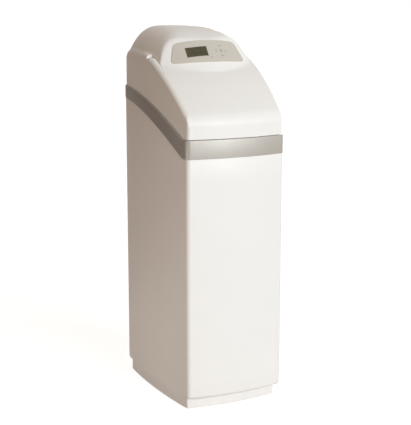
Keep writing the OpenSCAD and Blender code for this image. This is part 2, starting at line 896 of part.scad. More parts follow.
// Two half collars that hold the valve's flange to the tank's
module neck_clamps() {
  lip = 3;
  color([0.30, 0.31, 0.33])
    at_valve()
      for (half = [0, 180])
        rotate(half)
          intersection() {
            difference() {
              union() {
                translate([0, 0, -10 - lip - 0.2])
                  cylinder(r = neck_flange_r + 6, h = 20 + 2 * lip);
                for (x = [-1, 1])
                  translate([x * (neck_flange_r + 9), 0, 0])
                    cube([14, 22, 16], center = true);
              }
              translate([0, 0, -20])
                cylinder(r = neck_r + 0.3, h = 40);
              translate([0, 0, -10.2])
                cylinder(r = neck_flange_r + 0.3, h = 20.2);
              for (x = [-1, 1])
                translate([x * (neck_flange_r + 11), -20, 0])
                  along_y(40, 2.1);
            }
            translate([-80, 0.4, -40])
              cube([160, 80, 80]);
          }
}
module clamp_screws() {
  color(steel)
    at_valve()
      for (x = [-1, 1])
        translate([x * (neck_flange_r + 11), -11, 0]) {
          along_y(25, 2);
          translate([0, -3, 0])
            along_y(3, 3.6);
          translate([0, 22, 0])
            along_y(3, 3.6);
        }
}
stem_r = 8;
module rotor_disc() {
  color([0.82, 0.82, 0.80])
    at_valve()
      difference() {
        union() {
          translate([0, 0, plate_z - 20])
            cylinder(r = 37.6, h = 10);
          translate([0, 0, plate_z - 11])
            cylinder(r = stem_r, h = gear_z + 8 - plate_z + 11);
        }
        for (a = [0, 120, 240])
          rotate(a)
            translate([22, 0, plate_z - 21])
              cylinder(r = 7, h = 12);
      }
}
module valve_plate() {
  color([0.30, 0.31, 0.33])
    at_valve()
      difference() {
        translate([0, 0, plate_z]) {
          cylinder(r = chamber_r + 8, h = 5);
          hull() {
            cylinder(r = 20, h = 5);
            translate([0, -gear_gap, 0])
              cylinder(r = 30, h = 5);
          }
        }
        translate([0, 0, plate_z - 1])
          cylinder(r = stem_r + 0.05, h = 10);
        for (a = plate_angles)
          rotate(a)
            translate([chamber_r + 1, 0, plate_z - 1])
              cylinder(r = 2.1, h = 20);
        for (x = [-1, 1])
          translate([x * 26, -gear_gap, plate_z - 1])
            cylinder(r = 1.6, h = 10);
      }
}
module plate_screws() {
  color(steel)
    at_valve()
      for (a = plate_angles)
        rotate(a)
          translate([chamber_r + 1, 0, plate_z - 8]) {
            cylinder(r = 1.95, h = 13);
            translate([0, 0, 13])
              cylinder(r = 3.6, h = 3);
          }
}
// Spur gear with straight-sided teeth that leave backlash
module gear(teeth, height) {
  pitch = gear_module * teeth / 2;
  root = pitch - 1.25 * gear_module;
  tip = pitch + 0.9 * gear_module;
  step = 360 / teeth;
  linear_extrude(height)
    polygon([
      for (i = [0:teeth - 1], corner = [[-0.34, root], [-0.14, tip], [0.14, tip], [0.34, root]])
        let (a = (i + corner[0]) * step) corner[1] * [cos(a), sin(a)]
    ]);
}
module cam_gear() {
  color([0.90, 0.90, 0.88])
    at_valve()
      difference() {
        union() {
          translate([0, 0, gear_z])
            gear(gear_teeth, 8);
          translate([0, 0, plate_z + 5.3])
            cylinder(r = stem_r + 5, h = gear_z - plate_z - 5);
          translate([0, 0, gear_z - 5])
            intersection() {
              cylinder(r = 30, h = 6);
              translate([-40, 0, -1])
                cube([80, 40, 8]);
            }
        }
        translate([0, 0, plate_z])
          cylinder(r = stem_r + 0.02, h = 60);
      }
}
module drive_motor() {
  color(steel)
    at_valve()
      translate([0, -gear_gap, plate_z + 5]) {
        cylinder(r = 22, h = gear_z - plate_z - 11);
        cylinder(r = 2.5, h = gear_z - plate_z + 6);
        difference() {
          translate([-30, -7, 0])
            cube([60, 14, 2]);
          for (x = [-26, 26])
            translate([x, 0, -1])
              cylinder(r = 1.7, h = 4);
        }
      }
}
module motor_screws() {
  color(steel)
    at_valve()
      for (x = [-26, 26])
        translate([x, -gear_gap, plate_z]) {
          cylinder(r = 1.5, h = 8);
          translate([0, 0, 7])
            cylinder(r = 2.9, h = 2.2);
        }
}
module drive_pinion() {
  color(black)
    at_valve()
      difference() {
        translate([0, -gear_gap, gear_z])
          rotate(90 + 180 / pinion_teeth)
            gear(pinion_teeth, 8);
        translate([0, -gear_gap, gear_z - 1])
          cylinder(r = 2.55, h = 10);
      }
}
module position_switch() {
  color(black)
    at_valve()
      translate([-10, 33, plate_z + 5]) {
        cube([20, 7, gear_z - plate_z - 6]);
        cube([20, 12, 3]);
      }
}
turbine_y = 70;
module at_turbine() {
  at_valve()
    translate([port_x, turbine_y, port_z])
      children();
}
module turbine() {
  color(white)
    at_turbine()
      difference() {
        union() {
          along_y(10, 3);
          for (a = [0:60:300])
            rotate([0, a, 0])
              translate([2, 1, -0.6])
                cube([8.6, 8, 1.2]);
        }
        translate([0, -1, 0])
          along_y(20, 1.05);
      }
}
module turbine_carrier() {
  color([0.85, 0.85, 0.82])
    at_turbine() {
      along_y(20, 1);
      translate([0, 12, 0]) {
        rotate([-90, 0, 0])
          ring(port_bore - 0.02, port_bore - 2, 6);
        for (a = [0, 90])
          rotate([0, a, 0])
            translate([-port_bore + 1, 0, -1])
              cube([2 * port_bore - 2, 6, 2]);
      }
    }
}
module nozzle_housing() {
  color(black)
    at_valve()
      difference() {
        union() {
          translate([nozzle_x, 0, 22])
            cylinder(r = nozzle_r, h = 36);
          translate([chamber_r + 10.05, 0, brine_z])
            along_x(nozzle_x - chamber_r - 20, 9);
          translate([nozzle_x, -nozzle_r - 10, brine_z])
            along_y(nozzle_r, 7);
        }
        translate([nozzle_x, 0, 28])
          cylinder(r = nozzle_r - 4, h = 40);
        translate([chamber_r, 0, brine_z])
          along_x(nozzle_x - chamber_r, 4);
        translate([nozzle_x, -nozzle_r - 11, brine_z])
          along_y(nozzle_r + 10, 2.5);
        translate([nozzle_x, -nozzle_r - 11, brine_z])
          along_y(8, tube_r + 0.05);
      }
}
module nozzle_cap() {
  color([0.30, 0.31, 0.33])
    at_valve()
      translate([nozzle_x, 0, 58.05]) {
        cylinder(r = nozzle_r + 2, h = 10);
        translate([0, 0, -8])
          cylinder(r = nozzle_r - 4.1, h = 9);
        for (a = [0:30:150])
          rotate(a)
            translate([-nozzle_r - 3, -1.5, 1])
              cube([2 * nozzle_r + 6, 3, 9]);
      }
}

// Brine line: up from the well, over a quarter bend and back to the nozzle
module at_well() {
  translate([nozzle_x, well_y, 0])
    children();
}
tube_low = well_top + 8;
module brine_tube() {
  top = valve_z + brine_z;
  color([0.88, 0.88, 0.86])
    at_well() {
      translate([0, 0, tube_low])
        cylinder(r = tube_r, h = top - bend_r - tube_low);
      translate([0, bend_r, top - bend_r])
        rotate([90, 0, -90])
          rotate_extrude(angle = 90)
            translate([bend_r, 0])
              circle(r = tube_r);
      translate([0, bend_r, top])
        along_y(resin_y - nozzle_r - 10 + 6 - well_y - bend_r, tube_r);
    }
}
module brine_well() {
  color([0.90, 0.90, 0.88])
    at_well()
      difference() {
        translate([0, 0, floor_t])
          ring(well_r, well_r - 2.4, well_top - floor_t);
        for (a = [0:60:300], z = [30, 60, 90])
          rotate(a)
            translate([well_r - 6, 0, z])
              along_x(12, 4);
      }
}
module well_cap() {
  color(band_grey)
    at_well()
      difference() {
        union() {
          translate([0, 0, well_top])
            cylinder(r = well_r + 2, h = 4);
          translate([0, 0, well_top - 8])
            ring(well_r - 2.5, well_r - 5, 9);
        }
        translate([0, 0, well_top - 10])
          cylinder(r = 8.2, h = 20);
      }
}
rod_x = 14;
rod_r = 2;
foot_r = 20;
foot_h = 36;
float_h = 70;
float_r = 26;
collar_h = 6;
module brine_valve() {
  color([0.25, 0.26, 0.28])
    at_well()
      difference() {
        union() {
          translate([0, 0, floor_t])
            cylinder(r = foot_r, h = foot_h);
          translate([0, 0, floor_t])
            cylinder(r = tube_r, h = well_top + 2 - floor_t);
          translate([0, 0, float_z - collar_h])
            cylinder(r = 9, h = collar_h);
          translate([0, 0, float_z + float_h + float_lift + 0.3])
            cylinder(r = 9, h = collar_h);
          translate([0, 0, well_top - 14])
            cylinder(r = 8, h = 30);
        }
        translate([rod_x, 0, floor_t + 12])
          cylinder(r = rod_r + 0.05, h = foot_h);
        translate([0, 0, tube_low])
          cylinder(r = tube_r + 0.02, h = 40);
      }
}
module brine_float() {
  color([0.93, 0.60, 0.20])
    at_well() {
      translate([0, 0, float_z])
        ring(float_r, tube_r + 0.4, float_h);
      translate([rod_x, 0, floor_t + 14])
        cylinder(r = rod_r, h = float_z - floor_t - 10);
    }
}

// Bypass valve on the two ports, with its sliding plunger
module bypass_body() {
  color([0.16, 0.17, 0.18])
    at_valve()
      translate([0, 0, port_z])
        difference() {
          union() {
            for (x = [-port_x, port_x]) {
              translate([x, port_end - 14, 0])
                along_y(adapter_y - port_end + 14, port_r);
              translate([x, port_end - 14, 0])
                along_y(20, port_r + 4);
            }
            translate([-barrel_half, bypass_y, 0])
              along_x(2 * barrel_half, barrel_r);
          }
          for (x = [-port_x, port_x]) {
            translate([x, port_end - 15, 0])
              along_y(15.05, port_r + 0.05);
            translate([x, port_end - 1, 0])
              along_y(80, port_bore);
          }
          translate([-barrel_half - 1, bypass_y, 0])
            along_x(2 * barrel_half + 2, plunger_r + 0.05);
        }
}
module bypass_plunger() {
  color([0.72, 0.16, 0.14])
    at_valve()
      translate([0, bypass_y, port_z])
        difference() {
          union() {
            translate([-barrel_half - bypass_stroke - 1, 0, 0])
              along_x(2 * barrel_half + bypass_stroke + 2, plunger_r);
            translate([barrel_half + 0.3, 0, 0])
              along_x(11, barrel_r - 2);
            translate([-barrel_half - bypass_stroke - 11.3, 0, 0])
              along_x(11, barrel_r - 2);
          }
          for (x = [-port_x, port_x])
            translate([x - 15, 0, 0])
              rotate([0, 90, 0])
                ring(plunger_r + 1, 8, 30);
        }
}
module port_clips() {
  color(steel)
    at_valve()
      for (x = [-port_x, port_x])
        translate([x, port_end - 9, port_z])
          rotate([-90, 0, 0])
            difference() {
              ring(port_r + 6.4, port_r + 4.05, 6);
              translate([-10, 4, -1])
                cube([20, 40, 10]);
            }
}
module port_adapters() {
  color(steel)
    at_valve()
      for (x = [-port_x, port_x])
        translate([x, adapter_y, port_z])
          difference() {
            union() {
              along_y(7, port_r + 3);
              along_y(30, thread_r);
            }
            translate([0, -1, 0])
              along_y(40, port_bore - 1);
          }
}
// Run of the drain pipe: out from the valve, up, and back through the hood's cutout
module drain_run(r) {
  translate([drain_x, 0, brine_z]) {
    along_x(-chamber_r - 10.05 - drain_x, r);
    sphere(r = r);
    cylinder(r = r, h = drain_z - brine_z);
  }
  translate([drain_x, 0, drain_z]) {
    sphere(r = r);
    along_y(half_d - resin_y, r);
  }
}
module drain_elbow() {
  color(black)
    at_valve()
      difference() {
        union() {
          drain_run(drain_r);
          translate([-chamber_r - 13.05, 0, brine_z])
            along_x(3, 9);
          translate([drain_x, half_d - resin_y - 1, drain_z])
            along_y(25, drain_r - 0.5);
        }
        drain_run(drain_r - 2.5);
        translate([drain_x, 0, drain_z])
          along_y(half_d, drain_r - 2.5);
      }
}
module overflow_elbow() {
  color(black)
    translate([overflow_x, half_d - 18, overflow_z])
      difference() {
        union() {
          along_y(48, overflow_r);
          translate([0, 21, 0])
            along_y(3, overflow_r + 4);
        }
        translate([0, -1, 0])
          along_y(60, overflow_r - 2);
      }
}
module overflow_grommet() {
  color([0.25, 0.25, 0.26])
    translate([overflow_x, half_d, overflow_z])
      rotate([-90, 0, 0])
        difference() {
          union() {
            translate([0, 0, 0.05])
              cylinder(r = overflow_r + 5, h = 2.9);
            translate([0, 0, -wall - 3])
              cylinder(r = overflow_r + 2.45, h = wall + 4);
          }
          translate([0, 0, -20])
            cylinder(r = overflow_r + 0.02, h = 40);
        }
}
module power_gland() {
  color(black)
    translate([0, hood_end, gland_z])
      difference() {
        union() {
          translate([0, 0.05, 0])
            along_y(4, gland_r + 4);
          translate([0, -skin - 8, 0])
            along_y(skin + 9, gland_r);
        }
        translate([0, -20, 0])
          along_y(40, 3.2);
      }
}

cabinet();
rim();
hood();
salt_lid();
hinge_arms();
hinge_pins();
faceplate();
display_window();
display_module();
status_light();
circuit_board();
board_screws();
key_switches();
key_up();
key_down();
key_left();
key_right();
key_select();
resin_tank();
tank_boot();
resin_bed();
riser_tube();
lower_strainer();
upper_strainer();
valve_body();
neck_seal();
neck_clamps();
clamp_screws();
rotor_disc();
valve_plate();
plate_screws();
cam_gear();
drive_motor();
drive_pinion();
motor_screws();
position_switch();
turbine();
turbine_carrier();
nozzle_housing();
nozzle_cap();
brine_tube();
brine_well();
well_cap();
brine_valve();
brine_float();
bypass_body();
bypass_plunger();
port_clips();
port_adapters();
drain_elbow();
overflow_elbow();
overflow_grommet();
power_gland();
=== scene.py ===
import math
import bpy
import mathutils
import numpy as np
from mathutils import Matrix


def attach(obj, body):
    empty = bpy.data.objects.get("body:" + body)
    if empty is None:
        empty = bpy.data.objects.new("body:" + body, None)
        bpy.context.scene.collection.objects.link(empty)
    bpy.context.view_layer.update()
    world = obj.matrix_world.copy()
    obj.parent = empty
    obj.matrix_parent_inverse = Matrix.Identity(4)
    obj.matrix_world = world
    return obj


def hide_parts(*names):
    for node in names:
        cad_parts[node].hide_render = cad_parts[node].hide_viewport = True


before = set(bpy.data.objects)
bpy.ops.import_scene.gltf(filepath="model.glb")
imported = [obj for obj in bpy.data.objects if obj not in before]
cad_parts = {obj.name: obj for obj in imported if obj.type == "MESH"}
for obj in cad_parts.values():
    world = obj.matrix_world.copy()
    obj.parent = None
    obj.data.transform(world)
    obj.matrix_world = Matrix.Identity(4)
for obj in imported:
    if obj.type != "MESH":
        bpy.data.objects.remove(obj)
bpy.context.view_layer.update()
scene = bpy.context.scene
scene.view_settings.view_transform = "Standard"
print("frame loaded:", len(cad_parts), "nodes")

# Shared outline of the moulded shells, in millimetres
shell = dict(halfW=170.0, halfD=250.0, frontH=755.0, frontBow=23.0, sideBow=15.5, frontR=14.0, backR=60.0,
             coverInset=2.8, skin=3.0, shoulderR=19.0, sideR=12.0, bandH=55.0,
             sweepFrom=46.0, lowSweep=(0.6, 142.0), topSweep=(0.56, 124.0))
sweepY = shell["sweepFrom"] - shell["halfD"]


def sideX(y, e):  # half width of the bowed sides at depth y, inset by e
    return shell["halfW"] - e - shell["sideBow"] * (y / shell["halfD"]) ** 2


def frontY(x, e):  # bowed front at x, inset by e
    return e - shell["halfD"] + shell["frontBow"] * (x / shell["halfW"]) ** 2


# Right half of the plan outline: parabola along the front, arc, parabola along the side, arc, straight back
def halfPlan(e, counts=(14, 9, 44, 14, 8), push=0.0):
    rf, rb = max(shell["frontR"] - e, 2.0), max(shell["backR"] - e, 2.0)
    fy = frontY(sideX(shell["frontBow"] - shell["halfD"], e + rf), e + rf)
    fx = sideX(fy, e + rf)
    by = shell["halfD"] - e - rb
    bx = sideX(by, e + rb)
    af = math.atan(2 * shell["frontBow"] * fx / shell["halfW"] ** 2)
    sideTurn = math.atan(-2 * shell["sideBow"] * fy / shell["halfD"] ** 2)
    backTurn = math.atan(2 * shell["sideBow"] * by / shell["halfD"] ** 2)
    x1 = np.linspace(0, fx + rf * math.sin(af), counts[0], endpoint=False)
    a2 = np.linspace(af - math.pi / 2, -sideTurn, counts[1])
    y3 = np.linspace(fy - rf * math.sin(sideTurn), by + rb * math.sin(backTurn), counts[2] + 1)[1:]
    a4 = np.linspace(backTurn, math.pi / 2, counts[3] + 1)[1:]
    x5 = np.linspace(bx, 0, counts[4] + 1)[1:]
    x = np.concatenate([x1, fx + rf * np.cos(a2), sideX(y3, e), bx + rb * np.cos(a4), x5])
    y = np.concatenate([frontY(x1, e), fy + rf * np.sin(a2), y3, by + rb * np.sin(a4),
                        np.full(len(x5), by + rb)])
    if push:  # the front part moves back, and the sides follow in a straight line
        y = y + push * np.clip((by - y) / (by - y[0]), 0, 1)
    return np.stack([x, y], axis=1)


def wholePlan(e, push=0.0):  # closed loop, right half then mirrored left half
    right = halfPlan(e, push=push)
    left = right[-2:0:-1] * [-1, 1]
    return np.concatenate([right, left])


coverPlan = halfPlan(shell["coverInset"])
coverPlan = coverPlan[: np.argmax(coverPlan[:, 1]) + 1]


def coverX(y):
    return np.interp(y, coverPlan[:, 1], coverPlan[:, 0])


# Rim curves seen from the side: level in front, then a parabola up to the back
def sweepUp(y, rate, rise):
    t = np.maximum(y - sweepY, 0)
    span = shell["halfD"] - sweepY
    return rate * t - (rate * span - rise) * (t / span) ** 2


def bandLow(y):
    return shell["frontH"] + sweepUp(y, *shell["lowSweep"])


def bandTop(y):
    return shell["frontH"] + shell["bandH"] + sweepUp(y, *shell["topSweep"])


def edgeDrop(d, r):  # quarter circle of radius r, d in from the wall
    return np.where(d >= r, 0, r - np.sqrt(np.maximum(r * r - (r - np.maximum(d, 0)) ** 2, 0)))


def smoothMin(a, b, k):
    h = np.maximum(k - np.abs(a - b), 0) / k
    return np.minimum(a, b) - h * h * k / 4


def smoothMax(a, b, k):
    return -smoothMin(-a, -b, k)


def mix(a, b, t):
    return a + (b - a) * t


# Grid of points to a mesh in metres: quads between rows, closed round where asked, kept by a mask
def gridPiece(name, points, body, closeU=False, closeV=False, caps=(), keep=None, flip=False,
              sharp=38, wall=0.0):
    nv, nu = points.shape[:2]
    rows = np.arange(nv if closeV else nv - 1)
    cols = np.arange(nu if closeU else nu - 1)
    i, j = np.meshgrid(rows, cols, indexing="ij")
    i2, j2 = (i + 1) % nv, (j + 1) % nu
    quads = np.stack([i * nu + j, i * nu + j2, i2 * nu + j2, i2 * nu + j], axis=-1)
    quads = quads[keep] if keep is not None else quads.reshape(-1, 4)
    faces = quads.tolist()
    for row in caps:
        ring = np.arange(nu) + (row % nv) * nu
        faces.append((ring[::-1] if row == 0 else ring).tolist())
    if closeU and (closeV or len(caps) == 2):  # a closed piece has its volume's sign made positive
        flat = points.reshape(-1, 3)
        middle = flat.mean(axis=0)
        a, b, c, d = (flat[quads[:, k]] - middle for k in range(4))
        flip = np.sum(np.cross(a, b) * c) + np.sum(np.cross(a, c) * d) < 0
    if flip:
        faces = [f[::-1] for f in faces]
    mesh = bpy.data.meshes.new(name)
    mesh.from_pydata((points.reshape(-1, 3) * 0.001).tolist(), [], faces)
    mesh.validate()
    mesh.polygons.foreach_set("use_smooth", np.ones(len(mesh.polygons), dtype=bool))
    mesh.set_sharp_from_angle(angle=math.radians(sharp))
    piece = bpy.data.objects.new(name, mesh)
    scene.collection.objects.link(piece)
    if wall:  # open edges are sharp, so that the rim's faces don't shade the skin
        loopEdges = np.empty(len(mesh.loops), dtype=np.int32)
        mesh.loops.foreach_get("edge_index", loopEdges)
        marked = np.empty(len(mesh.edges), dtype=bool)
        mesh.edges.foreach_get("use_edge_sharp", marked)
        openEdge = np.bincount(loopEdges, minlength=len(marked)) == 1
        mesh.edges.foreach_set("use_edge_sharp", marked | openEdge)
        shellWall = piece.modifiers.new("wall", "SOLIDIFY")
        shellWall.thickness = wall * 0.001
        shellWall.offset = -1
    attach(piece, body)
    return piece


# Node helpers: a node gets its settings and socket values by name
def addNode(tree, kind, values=None, **settings):
    node = tree.nodes.new(kind)
    for key, value in settings.items():
        setattr(node, key, value)
    for key, value in (values or {}).items():
        node.inputs[key].default_value = value
    return node


def newGroup(name, inputs, outputs):
    tree = bpy.data.node_groups.new(name, "ShaderNodeTree")
    for label, kind, value in inputs:
        socket = tree.interface.new_socket(name=label, in_out="INPUT", socket_type=kind)
        if value is not None:
            socket.default_value = value
    for label, kind in outputs:
        tree.interface.new_socket(name=label, in_out="OUTPUT", socket_type=kind)
    return tree, tree.nodes.new("NodeGroupInput"), tree.nodes.new("NodeGroupOutput")


# Moulded grain: fine pebble height, slow patches and a sparse fleck mask
def makeMouldGrain():
    inputs = [("Vector", "NodeSocketVector", None), ("Grain", "NodeSocketFloat", 900.0),
              ("Patch", "NodeSocketFloat", 9.0)]
    outputs = [(label, "NodeSocketFloat") for label in ("Height", "Patches", "Flecks")]
    tree, enter, leave = newGroup("mouldGrain", inputs, outputs)
    pebble = addNode(tree, "ShaderNodeTexNoise", {"Detail": 3.0, "Roughness": 0.55})
    cell = addNode(tree, "ShaderNodeTexVoronoi", feature="SMOOTH_F1")
    patch = addNode(tree, "ShaderNodeTexNoise", {"Detail": 5.0, "Roughness": 0.6})
    fleck = addNode(tree, "ShaderNodeTexNoise", {"Scale": 160.0, "Detail": 2.0})
    fleckCut = addNode(tree, "ShaderNodeMapRange", {"From Min": 0.68, "From Max": 0.78})
    both = addNode(tree, "ShaderNodeMath", operation="ADD")
    for tex in (pebble, cell, patch, fleck):
        tree.links.new(enter.outputs["Vector"], tex.inputs["Vector"])
    tree.links.new(enter.outputs["Grain"], pebble.inputs["Scale"])
    tree.links.new(enter.outputs["Grain"], cell.inputs["Scale"])
    tree.links.new(enter.outputs["Patch"], patch.inputs["Scale"])
    tree.links.new(pebble.outputs["Fac"], both.inputs[0])
    tree.links.new(cell.outputs["Distance"], both.inputs[1])
    tree.links.new(fleck.outputs["Fac"], fleckCut.inputs["Value"])
    tree.links.new(both.outputs[0], leave.inputs["Height"])
    tree.links.new(patch.outputs["Fac"], leave.inputs["Patches"])
    tree.links.new(fleckCut.outputs["Result"], leave.inputs["Flecks"])
    return tree


# Scuffs near the floor: streaky noise that fades out with height
def makeFloorScuff():
    inputs = [("Vector", "NodeSocketVector", None), ("Height", "NodeSocketFloat", 0.12)]
    tree, enter, leave = newGroup("floorScuff", inputs, [("Mask", "NodeSocketFloat")])
    split = addNode(tree, "ShaderNodeSeparateXYZ")
    fade = addNode(tree, "ShaderNodeMapRange", {"From Min": 0.0, "To Min": 1.0, "To Max": 0.0},
                   interpolation_type="SMOOTHSTEP")
    stretch = addNode(tree, "ShaderNodeMapping", {"Scale": (40.0, 40.0, 9.0)})
    streak = addNode(tree, "ShaderNodeTexNoise", {"Scale": 1.0, "Detail": 6.0, "Roughness": 0.65})
    cut = addNode(tree, "ShaderNodeMapRange", {"From Min": 0.45, "From Max": 0.75})
    join = addNode(tree, "ShaderNodeMath", operation="MULTIPLY")
    tree.links.new(enter.outputs["Vector"], split.inputs[0])
    tree.links.new(split.outputs["Z"], fade.inputs["Value"])
    tree.links.new(enter.outputs["Height"], fade.inputs["From Max"])
    tree.links.new(enter.outputs["Vector"], stretch.inputs["Vector"])
    tree.links.new(stretch.outputs[0], streak.inputs["Vector"])
    tree.links.new(streak.outputs["Fac"], cut.inputs["Value"])
    tree.links.new(fade.outputs["Result"], join.inputs[0])
    tree.links.new(cut.outputs["Result"], join.inputs[1])
    tree.links.new(join.outputs[0], leave.inputs["Mask"])
    return tree


mouldGrain = makeMouldGrain()
floorScuff = makeFloorScuff()


def srgb(r, g, b):  # 0-255 display values to linear
    c = np.array([r, g, b]) / 255
    lin = np.where(c <= 0.04045, c / 12.92, ((c + 0.055) / 1.055) ** 2.4)
    return (float(lin[0]), float(lin[1]), float(lin[2]), 1.0)


# Moulded plastic: base and patch tint mixed by slow patches, grain bump, roughness that follows the patches
def mouldedMaterial(name, base, tint, rough=(0.38, 0.5), grain=900.0, bump=0.05, depth=0.0002, patch=9.0,
                    scuff=None, coat=0.0, fleck=0.25, level=0.45, metal=0.0):
    material = bpy.data.materials.new(name)
    material.use_nodes = True
    tree = material.node_tree
    shader = tree.nodes["Principled BSDF"]
    shader.inputs["Specular IOR Level"].default_value = level
    shader.inputs["Metallic"].default_value = metal
    shader.inputs["Coat Weight"].default_value = coat
    shader.inputs["Coat Roughness"].default_value = 0.12
    place = addNode(tree, "ShaderNodeTexCoord")
    skin = addNode(tree, "ShaderNodeGroup", node_tree=mouldGrain)
    skin.inputs["Grain"].default_value = grain
    skin.inputs["Patch"].default_value = patch
    tree.links.new(place.outputs["Object"], skin.inputs["Vector"])
    tone = addNode(tree, "ShaderNodeMix", data_type="RGBA")
    tone.inputs["A"].default_value = base
    tone.inputs["B"].default_value = tint
    tree.links.new(skin.outputs["Patches"], tone.inputs["Factor"])
    colour = tone.outputs["Result"]
    if fleck:
        strength = addNode(tree, "ShaderNodeMath", {1: fleck}, operation="MULTIPLY")
        specks = addNode(tree, "ShaderNodeMix", data_type="RGBA")
        specks.inputs["B"].default_value = tuple(0.72 * c for c in tint[:3]) + (1.0,)
        tree.links.new(skin.outputs["Flecks"], strength.inputs[0])
        tree.links.new(strength.outputs[0], specks.inputs["Factor"])
        tree.links.new(colour, specks.inputs["A"])
        colour = specks.outputs["Result"]
    if scuff:
        marks = addNode(tree, "ShaderNodeGroup", node_tree=floorScuff)
        marks.inputs["Height"].default_value = scuff["height"]
        weigh = addNode(tree, "ShaderNodeMath", {1: scuff["amount"]}, operation="MULTIPLY")
        soiled = addNode(tree, "ShaderNodeMix", data_type="RGBA")
        soiled.inputs["B"].default_value = scuff["colour"]
        tree.links.new(place.outputs["Object"], marks.inputs["Vector"])
        tree.links.new(marks.outputs["Mask"], weigh.inputs[0])
        tree.links.new(weigh.outputs[0], soiled.inputs["Factor"])
        tree.links.new(colour, soiled.inputs["A"])
        colour = soiled.outputs["Result"]
    tree.links.new(colour, shader.inputs["Base Color"])
    matt = addNode(tree, "ShaderNodeMapRange",
                   {"From Min": 0.3, "From Max": 0.7, "To Min": rough[0], "To Max": rough[1]})
    tree.links.new(skin.outputs["Patches"], matt.inputs["Value"])
    tree.links.new(matt.outputs["Result"], shader.inputs["Roughness"])
    lift = addNode(tree, "ShaderNodeBump", {"Strength": bump, "Distance": depth})
    tree.links.new(skin.outputs["Height"], lift.inputs["Height"])
    tree.links.new(lift.outputs["Normal"], shader.inputs["Normal"])
    return material


# Drawn metal: streaks along one axis for roughness, tone and bump
def metalMaterial(name, base, tint, stretch=(900.0, 40.0, 900.0), rough=(0.22, 0.42)):
    material = bpy.data.materials.new(name)
    material.use_nodes = True
    tree = material.node_tree
    shader = tree.nodes["Principled BSDF"]
    shader.inputs["Metallic"].default_value = 1.0
    place = addNode(tree, "ShaderNodeTexCoord")
    along = addNode(tree, "ShaderNodeMapping", {"Scale": stretch})
    streak = addNode(tree, "ShaderNodeTexNoise", {"Scale": 1.0, "Detail": 4.0})
    tree.links.new(place.outputs["Object"], along.inputs["Vector"])
    tree.links.new(along.outputs[0], streak.inputs["Vector"])
    tone = addNode(tree, "ShaderNodeMix", data_type="RGBA")
    tone.inputs["A"].default_value = base
    tone.inputs["B"].default_value = tint
    tree.links.new(streak.outputs["Fac"], tone.inputs["Factor"])
    tree.links.new(tone.outputs["Result"], shader.inputs["Base Color"])
    matt = addNode(tree, "ShaderNodeMapRange",
                   {"From Min": 0.3, "From Max": 0.7, "To Min": rough[0], "To Max": rough[1]})
    tree.links.new(streak.outputs["Fac"], matt.inputs["Value"])
    tree.links.new(matt.outputs["Result"], shader.inputs["Roughness"])
    lift = addNode(tree, "ShaderNodeBump", {"Strength": 0.15, "Distance": 0.0001})
    tree.links.new(streak.outputs["Fac"], lift.inputs["Height"])
    tree.links.new(lift.outputs["Normal"], shader.inputs["Normal"])
    return material


whiteShell = mouldedMaterial("whiteShell", srgb(242, 241, 237), srgb(238, 237, 232), rough=(0.42, 0.52),
                             grain=1100.0, bump=0.06, fleck=0.0,
                             scuff=dict(height=0.1, amount=0.10, colour=srgb(196, 190, 180)))
bandGrey = mouldedMaterial("bandGrey", srgb(172, 166, 157), srgb(164, 158, 149), rough=(0.42, 0.5),
                           grain=1300.0, bump=0.05, fleck=0.1, metal=0.5)
panelBeige = mouldedMaterial("panelBeige", srgb(203, 197, 185), srgb(198, 192, 180), rough=(0.5, 0.6),
                             grain=1500.0, bump=0.08, fleck=0.1)
blackMoulded = mouldedMaterial("blackMoulded", srgb(38, 38, 40), srgb(50, 50, 51), rough=(0.42, 0.6),
                               grain=700.0, bump=0.2)
greyMoulded = mouldedMaterial("greyMoulded", srgb(80, 82, 86), srgb(92, 94, 97), rough=(0.42, 0.58),
                              grain=700.0, bump=0.2)
naturalPlastic = mouldedMaterial("naturalPlastic", srgb(222, 221, 214), srgb(208, 206, 198),
                                 rough=(0.4, 0.55), grain=500.0, bump=0.1)
sealRubber = mouldedMaterial("sealRubber", srgb(34, 34, 35), srgb(48, 47, 47), rough=(0.62, 0.8),
                             grain=1600.0, bump=0.25, level=0.3)
floatFoam = mouldedMaterial("floatFoam", srgb(224, 140, 48), srgb(206, 120, 36), rough=(0.6, 0.8),
                            grain=420.0, bump=0.4, depth=0.0006)
plungerRed = mouldedMaterial("plungerRed", srgb(176, 40, 34), srgb(160, 33, 28), rough=(0.32, 0.45),
                             grain=700.0, bump=0.08)
resinBeads = mouldedMaterial("resinBeads", srgb(158, 104, 44), srgb(122, 74, 26), rough=(0.3, 0.5),
                             grain=1400.0, bump=0.9, depth=0.0008)
boardGreen = mouldedMaterial("boardGreen", srgb(26, 92, 56), srgb(18, 74, 44), rough=(0.3, 0.42),
                             grain=260.0, bump=0.3, coat=0.3)
displayBody = mouldedMaterial("displayBody", srgb(58, 60, 52), srgb(46, 48, 42), rough=(0.4, 0.55),
                              grain=900.0, bump=0.1)
displayGlass = mouldedMaterial("displayGlass", srgb(88, 83, 62), srgb(70, 66, 47), rough=(0.2, 0.3),
                               grain=2400.0, bump=0.02, patch=90.0, fleck=0.0, level=0.25)
displayInk = mouldedMaterial("displayInk", srgb(50, 46, 33), srgb(44, 40, 28), rough=(0.3, 0.4),
                             grain=2400.0, bump=0.02, fleck=0.0, level=0.2)
lightLens = mouldedMaterial("lightLens", srgb(104, 101, 92), srgb(90, 87, 79), rough=(0.15, 0.25),
                            grain=1800.0, bump=0.05, coat=0.4)
printGrey = mouldedMaterial("printGrey", srgb(112, 108, 100), srgb(102, 98, 90), rough=(0.45, 0.6),
                            grain=1500.0, bump=0.05)
steelDrawn = metalMaterial("steelDrawn", srgb(198, 199, 202), srgb(172, 173, 177))


